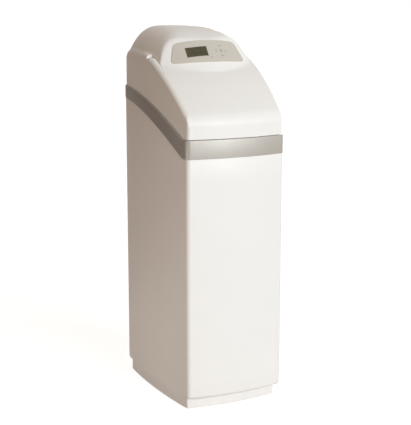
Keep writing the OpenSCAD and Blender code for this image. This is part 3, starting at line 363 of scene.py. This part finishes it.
# Wound tank: two crossing helices of fibre bands over a blue base, from the angle and height on the tank
def makeTankWrap():
    material = mouldedMaterial("tankWrap", srgb(40, 66, 112), srgb(30, 52, 94), rough=(0.3, 0.45),
                               grain=600.0, bump=0.1, coat=0.2)
    tree = material.node_tree
    shader = tree.nodes["Principled BSDF"]
    place = next(n for n in tree.nodes if n.bl_idname == "ShaderNodeTexCoord")
    centre = addNode(tree, "ShaderNodeMapping", {"Location": (0.0, -0.13, 0.0)})
    split = addNode(tree, "ShaderNodeSeparateXYZ")
    angle = addNode(tree, "ShaderNodeMath", operation="ARCTAN2")
    tree.links.new(place.outputs["Object"], centre.inputs["Vector"])
    tree.links.new(centre.outputs[0], split.inputs[0])
    tree.links.new(split.outputs["Y"], angle.inputs[0])
    tree.links.new(split.outputs["X"], angle.inputs[1])
    rise = addNode(tree, "ShaderNodeMath", {1: 190.0}, operation="MULTIPLY")
    tree.links.new(split.outputs["Z"], rise.inputs[0])
    waves = []
    for turns in (6.0, -6.0):
        twist = addNode(tree, "ShaderNodeMath", {1: turns}, operation="MULTIPLY")
        phase = addNode(tree, "ShaderNodeMath", operation="ADD")
        wave = addNode(tree, "ShaderNodeMath", operation="SINE")
        tree.links.new(angle.outputs[0], twist.inputs[0])
        tree.links.new(twist.outputs[0], phase.inputs[0])
        tree.links.new(rise.outputs[0], phase.inputs[1])
        tree.links.new(phase.outputs[0], wave.inputs[0])
        waves.append(wave)
    over = addNode(tree, "ShaderNodeMath", operation="MAXIMUM")
    tree.links.new(waves[0].outputs[0], over.inputs[0])
    tree.links.new(waves[1].outputs[0], over.inputs[1])
    lift = addNode(tree, "ShaderNodeBump", {"Strength": 0.5, "Distance": 0.0005})
    tree.links.new(over.outputs[0], lift.inputs["Height"])
    tree.links.new(lift.outputs["Normal"], shader.inputs["Normal"])
    return material


tankWrap = makeTankWrap()
finishes = {
    bandGrey: ["hinge_arms", "well_cap"],
    panelBeige: ["faceplate", "key_up", "key_down", "key_left", "key_right", "key_select"],
    displayGlass: ["display_window"],
    displayBody: ["display_module"],
    lightLens: ["status_light"],
    boardGreen: ["circuit_board"],
    steelDrawn: ["hinge_pins", "board_screws", "clamp_screws", "plate_screws", "motor_screws", "drive_motor",
                 "port_clips", "port_adapters"],
    blackMoulded: ["key_switches", "tank_boot", "valve_body", "drive_pinion", "position_switch",
                   "nozzle_housing", "brine_valve", "bypass_body", "drain_elbow", "overflow_elbow",
                   "power_gland"],
    tankWrap: ["resin_tank"],
    resinBeads: ["resin_bed"],
    naturalPlastic: ["riser_tube", "lower_strainer", "upper_strainer", "rotor_disc", "cam_gear", "turbine",
                     "turbine_carrier", "brine_tube", "brine_well"],
    greyMoulded: ["neck_clamps", "valve_plate", "nozzle_cap"],
    sealRubber: ["neck_seal", "overflow_grommet"],
    floatFoam: ["brine_float"],
    plungerRed: ["bypass_plunger"],
}
for finish, names in finishes.items():
    for name in names:
        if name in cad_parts:
            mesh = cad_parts[name].data
            mesh.materials.clear()
            mesh.materials.append(finish)
print("finishes set:", len(bpy.data.materials))

# Cabinet: plan loops of changing inset and height, from the underside up the outside, over the neck
# and down the inside
cabinet = dict(wall=4.0, plinthH=38.0, plinthInset=10.0, toe=19.0, edge=2.0, underRound=9.0, neckInset=3.0,
               deckT=4.0, bodyFrom=60.0, bodyTo=690.0, neckLap=12.0)


def cabinetRows(c):
    arc = np.radians(np.linspace(0, 90, 6))
    rows = []
    for a in arc:  # underside edge of the plinth
        inset, height = c["edge"] * (1 - math.sin(a)), c["edge"] * (1 - math.cos(a))
        rows.append((c["plinthInset"] + inset, c["toe"], height, None))
    rows.append((c["plinthInset"], c["toe"], c["plinthH"] - 1.0, None))
    rows.append((c["plinthInset"] - 0.5, c["toe"] * 0.97, c["plinthH"], None))
    for a in arc:  # round lower edge of the body
        inset, height = c["underRound"] * (1 - math.sin(a)), c["underRound"] * (1 - math.cos(a))
        rows.append((inset, 0.0, c["plinthH"] + height, None))
    for z in np.linspace(c["plinthH"] + c["bodyFrom"], c["bodyTo"], 8):
        rows.append((0.0, 0.0, z, None))
    for e, dz in ((0.0, -0.8), (0.25, -0.2), (0.8, 0.0), (c["neckInset"], 0.0)):
        rows.append((e, 0.0, dz, bandLow))
    for e in (c["neckInset"], c["neckInset"] + c["wall"]):
        rows.append((e, 0.0, -c["deckT"], bandTop))
    rows.append((c["neckInset"] + c["wall"], 0.0, -c["neckLap"], bandLow))
    rows.append((c["wall"], 0.0, -c["neckLap"], bandLow))
    rows.append((c["wall"], 0.0, c["plinthH"] + 12.0, None))
    rows.append((c["plinthInset"] + c["wall"], c["toe"], c["plinthH"] + 11.0, None))
    rows.append((c["plinthInset"] + c["wall"], c["toe"], c["wall"] + 1.0, None))
    return rows


def makeCabinet(c):
    loops = []
    for e, push, z, curve in cabinetRows(c):
        plan = wholePlan(e, push)
        height = np.full(len(plan), z) if curve is None else curve(plan[:, 1]) + z
        loops.append(np.column_stack([plan, height]))
    piece = gridPiece("cabinetShell", np.array(loops), "cabinet", closeU=True, caps=(0, -1))
    piece.data.materials.append(whiteShell)
    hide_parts("cabinet")


makeCabinet(cabinet)
print("cabinet made")

# Rim: one closed profile (outer band, rounded top edge, deck, underside) carried round the plan outline
rim = dict(proud=1.5, topRound=2.4, lowRound=0.7, deckInset=26.0, deckT=4.0, neckGap=2.5)


def makeRim(r):
    arc = np.radians(np.linspace(0, 90, 6))
    low, top = r["lowRound"], r["topRound"]
    inset, under = r["deckInset"], -r["deckT"]
    profile = [(low * (1 - math.sin(a)) - r["proud"], bandLow, low * (1 - math.cos(a))) for a in arc]
    profile += [(top * (1 - math.cos(a)) - r["proud"], bandTop, top * (math.sin(a) - 1)) for a in arc]
    profile += [(2.0, bandTop, 0.0), (inset - 0.6, bandTop, 0.0), (inset, bandTop, -0.6),
                (inset, bandTop, under), (r["neckGap"], bandTop, under), (r["neckGap"], bandLow, 0.0)]
    loops = []
    for e, curve, z in profile:
        plan = wholePlan(e)
        loops.append(np.column_stack([plan, curve(plan[:, 1]) + z]))
    piece = gridPiece("rimBand", np.array(loops), "cabinet", closeU=True, closeV=True)
    piece.data.materials.append(bandGrey)
    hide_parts("rim")


makeRim(rim)


# Closed strip: at each station a four-cornered section of two depths and two heights
def stripPiece(name, front, back, low, high, body, material):
    corners = [(front, low), (front, high), (back, high), (back, low)]
    points = np.stack([np.column_stack([plan, height]) for plan, height in corners], axis=1)
    piece = gridPiece(name, points, body, closeU=True, caps=(0, -1), sharp=30)
    piece.data.materials.append(material)


# Lid and hood heights over the plan, as smooth blends of a slope, a face and an arch
cover = dict(slopeY=-75.0, slopeZ=986.0, slopeRate=0.6, slopeFall=0.0013, lidBow=30.0, footX=148.0,
             footFlare=7.0, seamBow=27.0, seamY=28.0, seamGap=0.6, frontGap=0.5, seamBlend=24.0, seamSoft=8.0,
             faceY=-104.8, faceZ=982.0, faceTilt=52.5, faceRun=9.0, panelR=318.0, hingeY=20.0, hingeZ=1020.0,
             earSpread=40.0, hoodTop=1116.0, apexY=115.0, hoodFall=0.0017, hoodBackR=18.0, ledgeR=10.0,
             shoulderGap=13.0, shoulderDrop=8.5, rearSpan=70.0, archPower=(5.85, 3.75), archFrom=-30.0,
             archSpan=90.0, archBlend=9.0)
earR = cover["seamY"] - cover["hingeY"]
tilt = math.radians(cover["faceTilt"])
hoodEnd = shell["halfD"] - shell["coverInset"]
footFront = cover["footX"] + cover["footFlare"]
panel = dict(up=88.0, low=113.0, high=99.0, tall=65.0)


def slopeHeight(x, y):
    share = np.clip((y + shell["halfD"]) / (cover["faceY"] + shell["halfD"]), 0, 1)
    bow = mix(shell["frontBow"], cover["lidBow"], share)
    s = y + bow * (1 - (x / shell["halfW"]) ** 2) - cover["slopeY"]
    return cover["slopeZ"] + cover["slopeRate"] * s - cover["slopeFall"] * s * s


def rearShare(y):  # from 0 at the lid's end to 1 where the hood is fully arched
    t = np.clip((y - cover["seamY"]) / cover["rearSpan"], 0, 1)
    return t * t * (3 - 2 * t)


def sideDrop(x, y):
    return edgeDrop(coverX(y) - np.abs(x), mix(shell["sideR"], shell["shoulderR"], rearShare(y)))


def faceSag(x):  # depth of the bowed face behind its middle line
    return cover["panelR"] - np.sqrt(cover["panelR"] ** 2 - x * x)


def faceLine(x):
    return cover["faceY"] + faceSag(x) / math.sin(tilt)


def seamLine(x):  # seam in front of the hood, a flatter bow than the face's
    return cover["faceY"] + cover["seamBow"] * (x / footFront) ** 2


def frontHalf(y):  # half width of the hood's foot, which spreads in front of the lid's ears
    spreadY = cover["seamY"] - cover["earSpread"]
    share = np.clip((spreadY - y) / (spreadY - cover["faceY"] - cover["seamBow"]), 0, 1)
    return cover["footX"] + cover["footFlare"] * share


# Slope of the face, which runs out in a parabola below the panel's lower edge
panelFoot = (panel["up"] - panel["tall"] / 2) * math.cos(tilt)
runOut = panelFoot - faceSag(panel["low"]) * math.cos(tilt) ** 2 / math.sin(tilt) - cover["faceRun"]


def faceHeight(x, y):
    back = y - faceLine(x)
    lead = np.maximum(faceLine(x) - seamLine(x), 0)
    t = np.clip((runOut - back) / (runOut + lead), 0, 1)
    return cover["faceZ"] + math.tan(tilt) * (back + lead * t * t)


def lidHeight(x, y):
    front = edgeDrop(y - frontY(x, shell["coverInset"]), shell["shoulderR"])
    ear = cover["hingeZ"] + np.sqrt(np.maximum(earR ** 2 - np.maximum(y - cover["hingeY"], 0) ** 2, 0))
    return np.minimum(slopeHeight(x, y) - np.maximum(sideDrop(x, y), front), ear)


def archHalf(y):  # half width at which the arch of the hood meets its shoulder
    return mix(frontHalf(y), coverX(y) - cover["shoulderGap"], rearShare(y))


def hoodHeight(x, y):
    share = rearShare(y)
    foot = slopeHeight(cover["footX"], y) - cover["shoulderDrop"] * share
    half = archHalf(y)
    ridge = cover["hoodTop"] - cover["hoodFall"] * np.minimum(y - cover["apexY"], 0) ** 2
    power = mix(*cover["archPower"], np.clip((y - cover["archFrom"]) / cover["archSpan"], 0, 1))
    arch = foot + (ridge - foot) * (1 - (np.abs(x) / half) ** power)
    shoulder = slopeHeight(x, y) - sideDrop(x, y) - cover["shoulderDrop"] * share
    soft = cover["seamSoft"] * np.clip((y - seamLine(x)) / cover["seamBlend"], 0.02, 1)
    body = smoothMax(shoulder, smoothMin(faceHeight(x, y), arch, cover["archBlend"]), soft)
    rearEdge = share * edgeDrop(coverX(y) - np.abs(x), cover["ledgeR"])
    return body - edgeDrop(hoodEnd - y, cover["hoodBackR"]) - rearEdge


# Inner parts of the rim: the bridge under the hood's face, its bulkhead, the tongues in the hood's skirt
# and the lid's pads
rimInside = dict(forward=4.0, back=16.0, bulkFront=6.0, bulkBack=9.0, bulkTop=974.0, tongueInset=6.2,
                 tongueT=3.0, tongueH=12.0, tongueY=(40.0, 202.0), padX=60.0, padR=5.0, padTop=811.0)


def makeRimInside(r):
    x = np.linspace(-cover["footX"], cover["footX"], 49)
    line = faceLine(x)
    front, back = np.column_stack([x, line - r["forward"]]), np.column_stack([x, line + r["back"]])
    low, high = bandTop(line) - rim["deckT"], bandTop(line) - 0.05
    stripPiece("rimBridge", front, back, low, high, "cabinet", bandGrey)
    front, back = np.column_stack([x, line + r["bulkFront"]]), np.column_stack([x, line + r["bulkBack"]])
    top = np.full(len(x), r["bulkTop"])
    stripPiece("rimBulkhead", front, back, bandTop(line) - 1, top, "cabinet", bandGrey)
    y = np.linspace(*r["tongueY"], 24)
    for side, label in ((-1, "Left"), (1, "Right")):
        outer = np.column_stack([side * (coverX(y) + shell["coverInset"] - r["tongueInset"]), y])
        inner = outer - [side * r["tongueT"], 0]
        low, high = bandTop(y) - 1, bandTop(y) + r["tongueH"]
        stripPiece("rimTongue" + label, outer, inner, low, high, "cabinet", bandGrey)
        turn = np.radians(np.linspace(0, 360, 24, endpoint=False))
        circle = np.column_stack([np.cos(turn), np.sin(turn)])
        rows = [(r["padR"], -3.0), (r["padR"], -0.5), (r["padR"] - 0.2, -0.1), (r["padR"] - 0.6, 0.0)]
        place = (side * r["padX"], frontY(r["padX"], shell["coverInset"] + shell["skin"] / 2), r["padTop"])
        ring = np.array([np.column_stack([circle * radius, np.full(len(turn), z)]) for radius, z in rows])
        pad = gridPiece("restPad" + label, ring + place, "cabinet", closeU=True, caps=(0, -1))
        pad.data.materials.append(bandGrey)


makeRimInside(rimInside)
print("rim made")

# Frame of the control panel: x across, u up the slope, h out of the bowed face
panelY = cover["faceY"] + panel["up"] * math.cos(tilt)
panelZ = cover["faceZ"] + panel["up"] * math.sin(tilt)


def fromPanel(x, u, z):  # panel frame to the object's frame
    y = panelY + u * math.cos(tilt) - z * math.sin(tilt)
    return np.stack([x, y, panelZ + u * math.sin(tilt) + z * math.cos(tilt)], axis=-1)


def toPanel(p):
    dy, dz = p[..., 1] - panelY, p[..., 2] - panelZ
    return p[..., 0], dy * math.cos(tilt) + dz * math.sin(tilt), dz * math.cos(tilt) - dy * math.sin(tilt)


def onFace(x, u, h):  # point at height h over the bowed face
    return fromPanel(x, u, np.sqrt((cover["panelR"] + h) ** 2 - x * x) - cover["panelR"])


def onKey(x0, u0, a, b, c):  # frame that stands square on the bowed face at (x0, u0)
    turn = math.asin(x0 / cover["panelR"])
    deep = c + cover["panelR"]
    x = a * math.cos(turn) + deep * math.sin(turn)
    return fromPanel(x, b + u0, deep * math.cos(turn) - a * math.sin(turn) - cover["panelR"])


# Border of the faceplate: a bevelled section between two round-cornered outlines with a dipped lower edge
border = dict(outer=dict(low=123.0, high=100.5, bottom=-31.5, top=34.5, round=15.0),
              inner=dict(low=107.0, high=93.0, bottom=-29.5, top=28.0, round=6.0),
              dip=11.65, front=2.06, sunk=-0.6, bevel=0.4)


def roundCorner(before, corner, after):  # quadratic curve from one edge to the next
    t = np.linspace(0, 1, 9)[:, None]
    return (1 - t) ** 2 * before + 2 * t * (1 - t) * corner + t * t * after


def plateOutline(p, dip, grow=0.0):
    low, high, bottom, top = p["low"] + grow, p["high"] + grow, p["bottom"] - grow, p["top"] + grow
    x = np.linspace(0, low - p["round"], 22)
    lower = np.column_stack([x, bottom - dip * (1 - (x / low) ** 2)])
    lowCorner, highCorner = np.array([low, bottom]), np.array([high, top])
    along = (highCorner - lowCorner) / np.linalg.norm(highCorner - lowCorner)
    first = roundCorner(lower[-1], lowCorner, lowCorner + p["round"] * along)
    second = roundCorner(highCorner - p["round"] * along, highCorner, highCorner - [p["round"], 0])
    x = np.linspace(high - p["round"], 0, 20)
    right = np.concatenate([lower[:-1], first, second, np.column_stack([x, np.full(len(x), top)])[1:]])
    return np.concatenate([right, right[-2:0:-1] * [-1, 1]])


def makeBorder(b):
    top, bevel = b["front"], b["bevel"]
    section = [("outer", 0.0, b["sunk"]), ("outer", 0.0, top - bevel),
               ("outer", -0.3 * bevel, top - 0.3 * bevel), ("outer", -bevel, top), ("outer", -3 * bevel, top),
               ("inner", bevel, top), ("inner", 0.0, top), ("inner", 0.0, b["sunk"])]
    loops = [(plateOutline(b[edge], b["dip"], grow), h) for edge, grow, h in section]
    rows = np.array([onFace(loop[:, 0], loop[:, 1], h) for loop, h in loops])
    piece = gridPiece("panelBorder", rows, "cabinet", closeU=True, closeV=True)
    piece.data.materials.append(panelBeige)


makeBorder(border)


# Raised line: a flat-topped section carried along a plane curve, on a frame of the panel
def linePiece(name, curve, width, low, high, spot, body, material, closed=False):
    if closed:
        ahead, behind = np.roll(curve, -1, axis=0), np.roll(curve, 1, axis=0)
    else:
        ahead = np.concatenate([curve[1:], curve[-1:] * 2 - curve[-2:-1]])
        behind = np.concatenate([curve[:1] * 2 - curve[1:2], curve[:-1]])
    along = (ahead - behind) / np.linalg.norm(ahead - behind, axis=1)[:, None]
    across = np.stack([-along[:, 1], along[:, 0]], axis=1)
    flank = mix(low, high, 0.6)
    section = [(-0.5, low), (-0.5, flank), (-0.3, high), (0.3, high), (0.5, flank), (0.5, low)]
    rows = [(curve + across * (share * width), h) for share, h in section]
    points = np.stack([onKey(*spot, *row.T, np.full(len(row), h)) for row, h in rows], axis=1)
    piece = gridPiece(name, points, body, closeU=True, closeV=closed, caps=() if closed else (0, -1))
    piece.data.materials.append(material)


# Key marks: an arc on each arrow key, bulging the way it points, and a ring on the middle key
keyMarks = dict(padX=42.0, padU=-3.7, step=16.0, capTop=2.3, arcR=6.0, arcSpan=116.0, arcShift=4.2,
                lineW=1.3, lineH=0.16, sunk=0.05, ringR=3.6)


def makeKeyMarks(k):
    low, high = k["capTop"] - k["sunk"], k["capTop"] + k["lineH"]
    for name, turn in (("key_right", 0), ("key_up", 90), ("key_left", 180), ("key_down", 270)):
        pointing = np.array([math.cos(math.radians(turn)), math.sin(math.radians(turn))])
        spot = (k["padX"] + k["step"] * pointing[0], k["padU"] + k["step"] * pointing[1])
        a = np.radians(turn + np.linspace(-k["arcSpan"] / 2, k["arcSpan"] / 2, 25))
        curve = k["arcR"] * np.column_stack([np.cos(a), np.sin(a)]) - k["arcShift"] * pointing
        linePiece(name + "_arc", curve, k["lineW"], low, high, spot, name, printGrey)
    a = np.radians(np.linspace(0, 360, 40, endpoint=False))
    ring = k["ringR"] * np.column_stack([np.cos(a), np.sin(a)])
    linePiece("key_select_ring", ring, k["lineW"], low, high, (k["padX"], k["padU"]), "key_select",
              printGrey, closed=True)


makeKeyMarks(keyMarks)

# Display: seven-stroke figures and a row of bars under the window's front, as faint dark ink
display = dict(x=-38.5, u=-4.7, front=0.1, inkUnder=0.02, inkOver=0.04, figureW=6.6, figureH=11.0,
               figureU=-3.4, stroke=1.25, strokeCut=0.12, pitch=10.4, colonGap=1.6, colonU=(-1.0, -5.8),
               dot=1.2, barW=3.0, barH=1.6, barGap=1.9, barU=9.6, bars=11)
figureStrokes = {"top": (-1, 1, 1, 1), "middle": (-1, 0, 1, 0), "bottom": (-1, -1, 1, -1),
                 "upLeft": (-1, 0, -1, 1), "upRight": (1, 0, 1, 1), "lowLeft": (-1, -1, -1, 0),
                 "lowRight": (1, -1, 1, 0)}
figures = {1: ("upRight", "lowRight"), 0: ("top", "bottom", "upLeft", "upRight", "lowLeft", "lowRight"),
           4: ("middle", "upLeft", "upRight", "lowRight"),
           5: ("top", "middle", "bottom", "upLeft", "lowRight")}


def inkPiece(d, name, ends, width):
    linePiece(name, np.array(ends), width, d["front"] - d["inkUnder"], d["front"] + d["inkOver"],
              (d["x"], d["u"]), "cabinet", displayInk)


def makeDisplayInk(d):
    cut = np.array([[d["strokeCut"]], [1 - d["strokeCut"]]])
    size = [d["figureW"] / 2, d["figureH"] / 2]
    for place, figure in enumerate((1, 0, 4, 5)):
        shift = d["colonGap"] if place > 1 else -d["colonGap"]
        middle = np.array([(place - 1.5) * d["pitch"] + shift, d["figureU"]])
        for stroke in figures[figure]:
            ends = np.array(figureStrokes[stroke]).reshape(2, 2) * size + middle
            name = f"figure{place}{stroke[0].upper()}{stroke[1:]}"
            inkPiece(d, name, mix(ends[:1], ends[1:], cut), d["stroke"])
    for label, u in zip(("Up", "Low"), d["colonU"]):
        inkPiece(d, "colon" + label, [[-d["dot"] / 2, u], [d["dot"] / 2, u]], d["dot"])
    for place in range(d["bars"]):
        x = (place - (d["bars"] - 1) / 2) * (d["barW"] + d["barGap"])
        half = d["barW"] / 2
        inkPiece(d, f"bar{place}", [[x - half, d["barU"]], [x + half, d["barU"]]], d["barH"])


makeDisplayInk(display)
print("panel marks made")

# Hood: sections across, one after another from the face to the back, then the back wall down to the cutout
hood = dict(cutoutX=96.0, cutoutTop=1017.55, cutoutR=10.0, columns=56, wallRows=7, ledgeRows=12, footGap=0.3,
            openInset=5.0, openDepth=60.0)


# Section: up the wall, over the shoulder to the arch's foot, across the arch and down again
def hoodSection(y0, h, rear=False):
    bow = 0.0 if rear else cover["seamBow"] * max(cover["seamY"] - y0, 0) / (cover["seamY"] - cover["faceY"])
    half = float(archHalf(y0 + bow))
    wide = float(coverX(y0)) if rear else half
    spread = np.sin(np.linspace(np.pi / 2, 0, h["columns"])) ** 0.72
    x = half * np.concatenate([spread, -spread[-2::-1]])
    if rear:
        ledge = mix(wide, half, np.linspace(0, 1, h["ledgeRows"], endpoint=False) ** 1.6)
        x = np.concatenate([ledge, x, -ledge[::-1]])
    y = y0 + bow * (x / half) ** 2
    top = np.column_stack([x, y, hoodHeight(x, y)])
    wallRows = h["wallRows"] if rear else h["wallRows"] + h["ledgeRows"]
    t = np.linspace(0, 1, wallRows, endpoint=False)[:, None]
    feet = [np.array([p[0], p[1], bandTop(p[1]) + h["footGap"]]) for p in (top[0], top[-1])]
    return np.concatenate([mix(feet[0], top[0], t), top, mix(feet[1], top[-1], t)[::-1]])


def makeHood(h):
    stepY = cover["seamY"] + cover["seamGap"]
    corner = shell["halfD"] - shell["backR"]
    front = mix(cover["faceY"], stepY, np.linspace(0, 1, 54))
    middle = np.linspace(stepY + 1.5, corner, 46)
    rear = corner + (hoodEnd - corner) * np.sin(np.radians(np.linspace(4, 90, 26)))
    sections = [hoodSection(y, h) for y in front]
    sections += [hoodSection(y, h, rear=True) for y in np.concatenate([[stepY + 0.3], middle, rear])]
    last = sections[-1]
    n = h["wallRows"]
    across = last[n:-n, 0] / last[n, 0] * h["cutoutX"]
    rounded = h["cutoutTop"] - edgeDrop(h["cutoutX"] - np.abs(across), h["cutoutR"])
    top = np.column_stack([across, np.full(len(across), hoodEnd), rounded])
    t = np.linspace(0, 1, n, endpoint=False)[:, None]
    feet = [np.array([s * h["cutoutX"], hoodEnd, bandTop(hoodEnd) + h["footGap"]]) for s in (1, -1)]
    gap = np.concatenate([mix(feet[0], top[0], t), top, mix(feet[1], top[-1], t)[::-1]])
    sections += [mix(last, gap, s) for s in (0.15, 0.4, 0.7, 1.0)]
    points = np.array(sections)
    middleOf = (points[:-1, :-1] + points[1:, 1:]) / 2
    x, u, z = toPanel(middleOf)
    inside = (np.abs(u) < panel["tall"] / 2 - h["openInset"]) & (np.abs(z) < h["openDepth"])
    inside &= np.abs(x) < mix(panel["low"], panel["high"], u / panel["tall"] + 0.5) - h["openInset"]
    piece = gridPiece("hoodShell", points, "cabinet", keep=~inside, flip=True,
                      wall=shell["skin"])
    piece.data.materials.append(whiteShell)
    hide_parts("hood")


makeHood(hood)
print("hood made")

# Lid: from each point of the outline up its wall, then over the round shoulder to the seam along the hood
lid = dict(gapUnder=1.0, wallRows=9, topRows=46)


def makeLid(c):
    right = halfPlan(shell["coverInset"], counts=(40, 14, 70, 14, 8))
    earX = footFront + cover["seamGap"]
    earY = seamLine(earX) - cover["frontGap"]
    side = right[right[:, 1] < cover["seamY"] - 0.5]
    extra = np.array([earY, cover["seamY"]])
    side = np.concatenate([side, np.column_stack([coverX(extra), extra])])
    side = side[np.lexsort((side[:, 0] * 1e-6, side[:, 1]))]
    outline = np.concatenate([side[:0:-1] * [-1, 1], side])
    x, y = outline[:, 0], outline[:, 1]
    reach = float(coverX(earY)) + earY - shell["frontBow"] + shell["halfD"]
    share = np.clip((np.abs(x) + np.maximum(y - shell["frontBow"] + shell["halfD"], 0)) / reach, 0, 1)
    edgeX = np.where(y > earY, frontHalf(y) + cover["seamGap"], earX * share) * np.sign(x)
    edgeY = np.where(y > earY, y, seamLine(earX * share) - cover["frontGap"])
    edge = np.column_stack([edgeX, edgeY])
    t = (np.linspace(0, 1, c["topRows"]) ** 1.9)[:, None, None]
    flat = mix(outline[None], edge[None], t)
    top = np.concatenate([flat, lidHeight(flat[..., 0], flat[..., 1])[..., None]], axis=-1)
    foot = np.column_stack([outline, bandTop(y) + c["gapUnder"]])
    wall = mix(foot[None], top[:1], np.linspace(0, 1, c["wallRows"], endpoint=False)[:, None, None])
    piece = gridPiece("lidShell", np.concatenate([wall, top]), "salt_lid", wall=shell["skin"])
    piece.data.materials.append(whiteShell)
    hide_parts("salt_lid")


makeLid(lid)
print("lid made")

# Camera at the photo's place
view = dict(place=(-1.5472, -3.1059, 1.2474), yaw=0.4665, pitch=0.1989, focalPixels=1139.6, longSide=425,
            sensor=36.0)
cameraData = bpy.data.cameras.new("camera")
cameraData.sensor_width = view["sensor"]
cameraData.lens = view["focalPixels"] * view["sensor"] / view["longSide"]
cameraObject = bpy.data.objects.new("camera", cameraData)
cameraObject.location = view["place"]
cameraObject.rotation_euler = (math.pi / 2 - view["pitch"], 0, -view["yaw"])
scene.collection.objects.link(cameraObject)
scene.camera = cameraObject

# Studio: soft key from the front right, a weak lamp behind right, a low fill on the left, a dark flag
# behind left, warm surround and a pale floor
studio = dict(keyTurn=15.0, keyRise=13.5, keyReach=4.0, keyPower=2.9, keySoft=40.0,
              keyColour=(0.835, 0.93, 1.0), fillPlace=(-1.2, -0.3, 0.25), fillAim=(-0.17, 0.0, 0.4),
              fillPower=2.2, fillSize=0.6, backFrom=(2.0, 3.4, 0.1), backPower=1.3, backSoft=8.0,
              surround=(0.335, 0.25, 0.193), floorWarm=(0.56, 0.44, 0.365), floorPlain=0.5, floorGlow=0.84,
              floorReach=40.0, floorLevel=-0.0003, flagColour=(0.10, 0.075, 0.06), flagX=(-2.6, -0.36),
              flagY=1.2, flagLow=0.01, flagTop=2.0)


def seenRays(tree):  # 1 for camera, glossy and transmission rays
    path = addNode(tree, "ShaderNodeLightPath")
    first = addNode(tree, "ShaderNodeMath", operation="MAXIMUM")
    both = addNode(tree, "ShaderNodeMath", operation="MAXIMUM")
    tree.links.new(path.outputs["Is Camera Ray"], first.inputs[0])
    tree.links.new(path.outputs["Is Glossy Ray"], first.inputs[1])
    tree.links.new(first.outputs[0], both.inputs[0])
    tree.links.new(path.outputs["Is Transmission Ray"], both.inputs[1])
    return both.outputs[0]


def aimedLamp(name, kind, power, place, aim):
    lampData = bpy.data.lights.new(name, kind)
    lampData.energy = power
    lamp = bpy.data.objects.new(name, lampData)
    lamp.location = place
    toward = mathutils.Vector(aim) - mathutils.Vector(place)
    lamp.rotation_euler = toward.to_track_quat("-Z", "Y").to_euler()
    scene.collection.objects.link(lamp)
    return lampData


def stagePlane(name, corners):
    mesh = bpy.data.meshes.new(name)
    mesh.from_pydata(corners, [], [(0, 1, 2, 3)])
    plane = bpy.data.objects.new(name, mesh)
    scene.collection.objects.link(plane)
    material = bpy.data.materials.new(name)
    material.use_nodes = True
    material.node_tree.nodes.clear()
    mesh.materials.append(material)
    return plane, material.node_tree


def makeLamps(s):
    turn, rise = math.radians(s["keyTurn"]), math.radians(s["keyRise"])
    flat, up = s["keyReach"] * math.cos(rise), s["keyReach"] * math.sin(rise)
    keyPlace = (flat * math.sin(turn), -flat * math.cos(turn), up)
    key = aimedLamp("key", "SUN", s["keyPower"], keyPlace, (0, 0, 0))
    key.angle = math.radians(s["keySoft"])
    key.color = s["keyColour"]
    fill = aimedLamp("fill", "AREA", s["fillPower"], s["fillPlace"], s["fillAim"])
    fill.shape = "DISK"
    fill.size = s["fillSize"]
    back = aimedLamp("back", "SUN", s["backPower"], s["backFrom"], (0, 0, 0))
    back.angle = math.radians(s["backSoft"])


def makeSurround(s):  # white where it is seen, dim and warm as a light
    world = bpy.data.worlds.new("surround")
    scene.world = world
    world.use_nodes = True
    tree = world.node_tree
    tree.nodes.clear()
    dim = addNode(tree, "ShaderNodeBackground", {"Color": (*s["surround"], 1)})
    white = addNode(tree, "ShaderNodeBackground", {"Color": (1, 1, 1, 1)})
    join = addNode(tree, "ShaderNodeMixShader")
    out = addNode(tree, "ShaderNodeOutputWorld")
    tree.links.new(seenRays(tree), join.inputs[0])
    tree.links.new(dim.outputs[0], join.inputs[1])
    tree.links.new(white.outputs[0], join.inputs[2])
    tree.links.new(join.outputs[0], out.inputs[0])


def makeFloor(s):  # pale and glowing where it is seen, warm where it throws light back
    reach, level = s["floorReach"], s["floorLevel"]
    corners = [(-reach, -reach, level), (reach, -reach, level), (reach, reach, level), (-reach, reach, level)]
    tree = stagePlane("floor", corners)[1]
    warm = addNode(tree, "ShaderNodeBsdfDiffuse", {"Color": (*s["floorWarm"], 1)})
    plain = addNode(tree, "ShaderNodeBsdfDiffuse", {"Color": (s["floorPlain"],) * 3 + (1,)})
    glow = addNode(tree, "ShaderNodeEmission", {"Color": (1, 1, 1, 1), "Strength": s["floorGlow"]})
    shown = addNode(tree, "ShaderNodeAddShader")
    join = addNode(tree, "ShaderNodeMixShader")
    out = addNode(tree, "ShaderNodeOutputMaterial")
    tree.links.new(plain.outputs[0], shown.inputs[0])
    tree.links.new(glow.outputs[0], shown.inputs[1])
    tree.links.new(seenRays(tree), join.inputs[0])
    tree.links.new(warm.outputs[0], join.inputs[1])
    tree.links.new(shown.outputs[0], join.inputs[2])
    tree.links.new(join.outputs[0], out.inputs["Surface"])


def makeFlag(s):
    (x0, x1), y, low, top = s["flagX"], s["flagY"], s["flagLow"], s["flagTop"]
    flag, tree = stagePlane("flag", [(x0, y, low), (x1, y, low), (x1, y, top), (x0, y, top)])
    flag.visible_camera = False
    cloth = addNode(tree, "ShaderNodeBsdfDiffuse", {"Color": (*s["flagColour"], 1)})
    out = addNode(tree, "ShaderNodeOutputMaterial")
    tree.links.new(cloth.outputs[0], out.inputs["Surface"])


makeLamps(studio)
makeSurround(studio)
makeFloor(studio)
makeFlag(studio)
print("studio made")
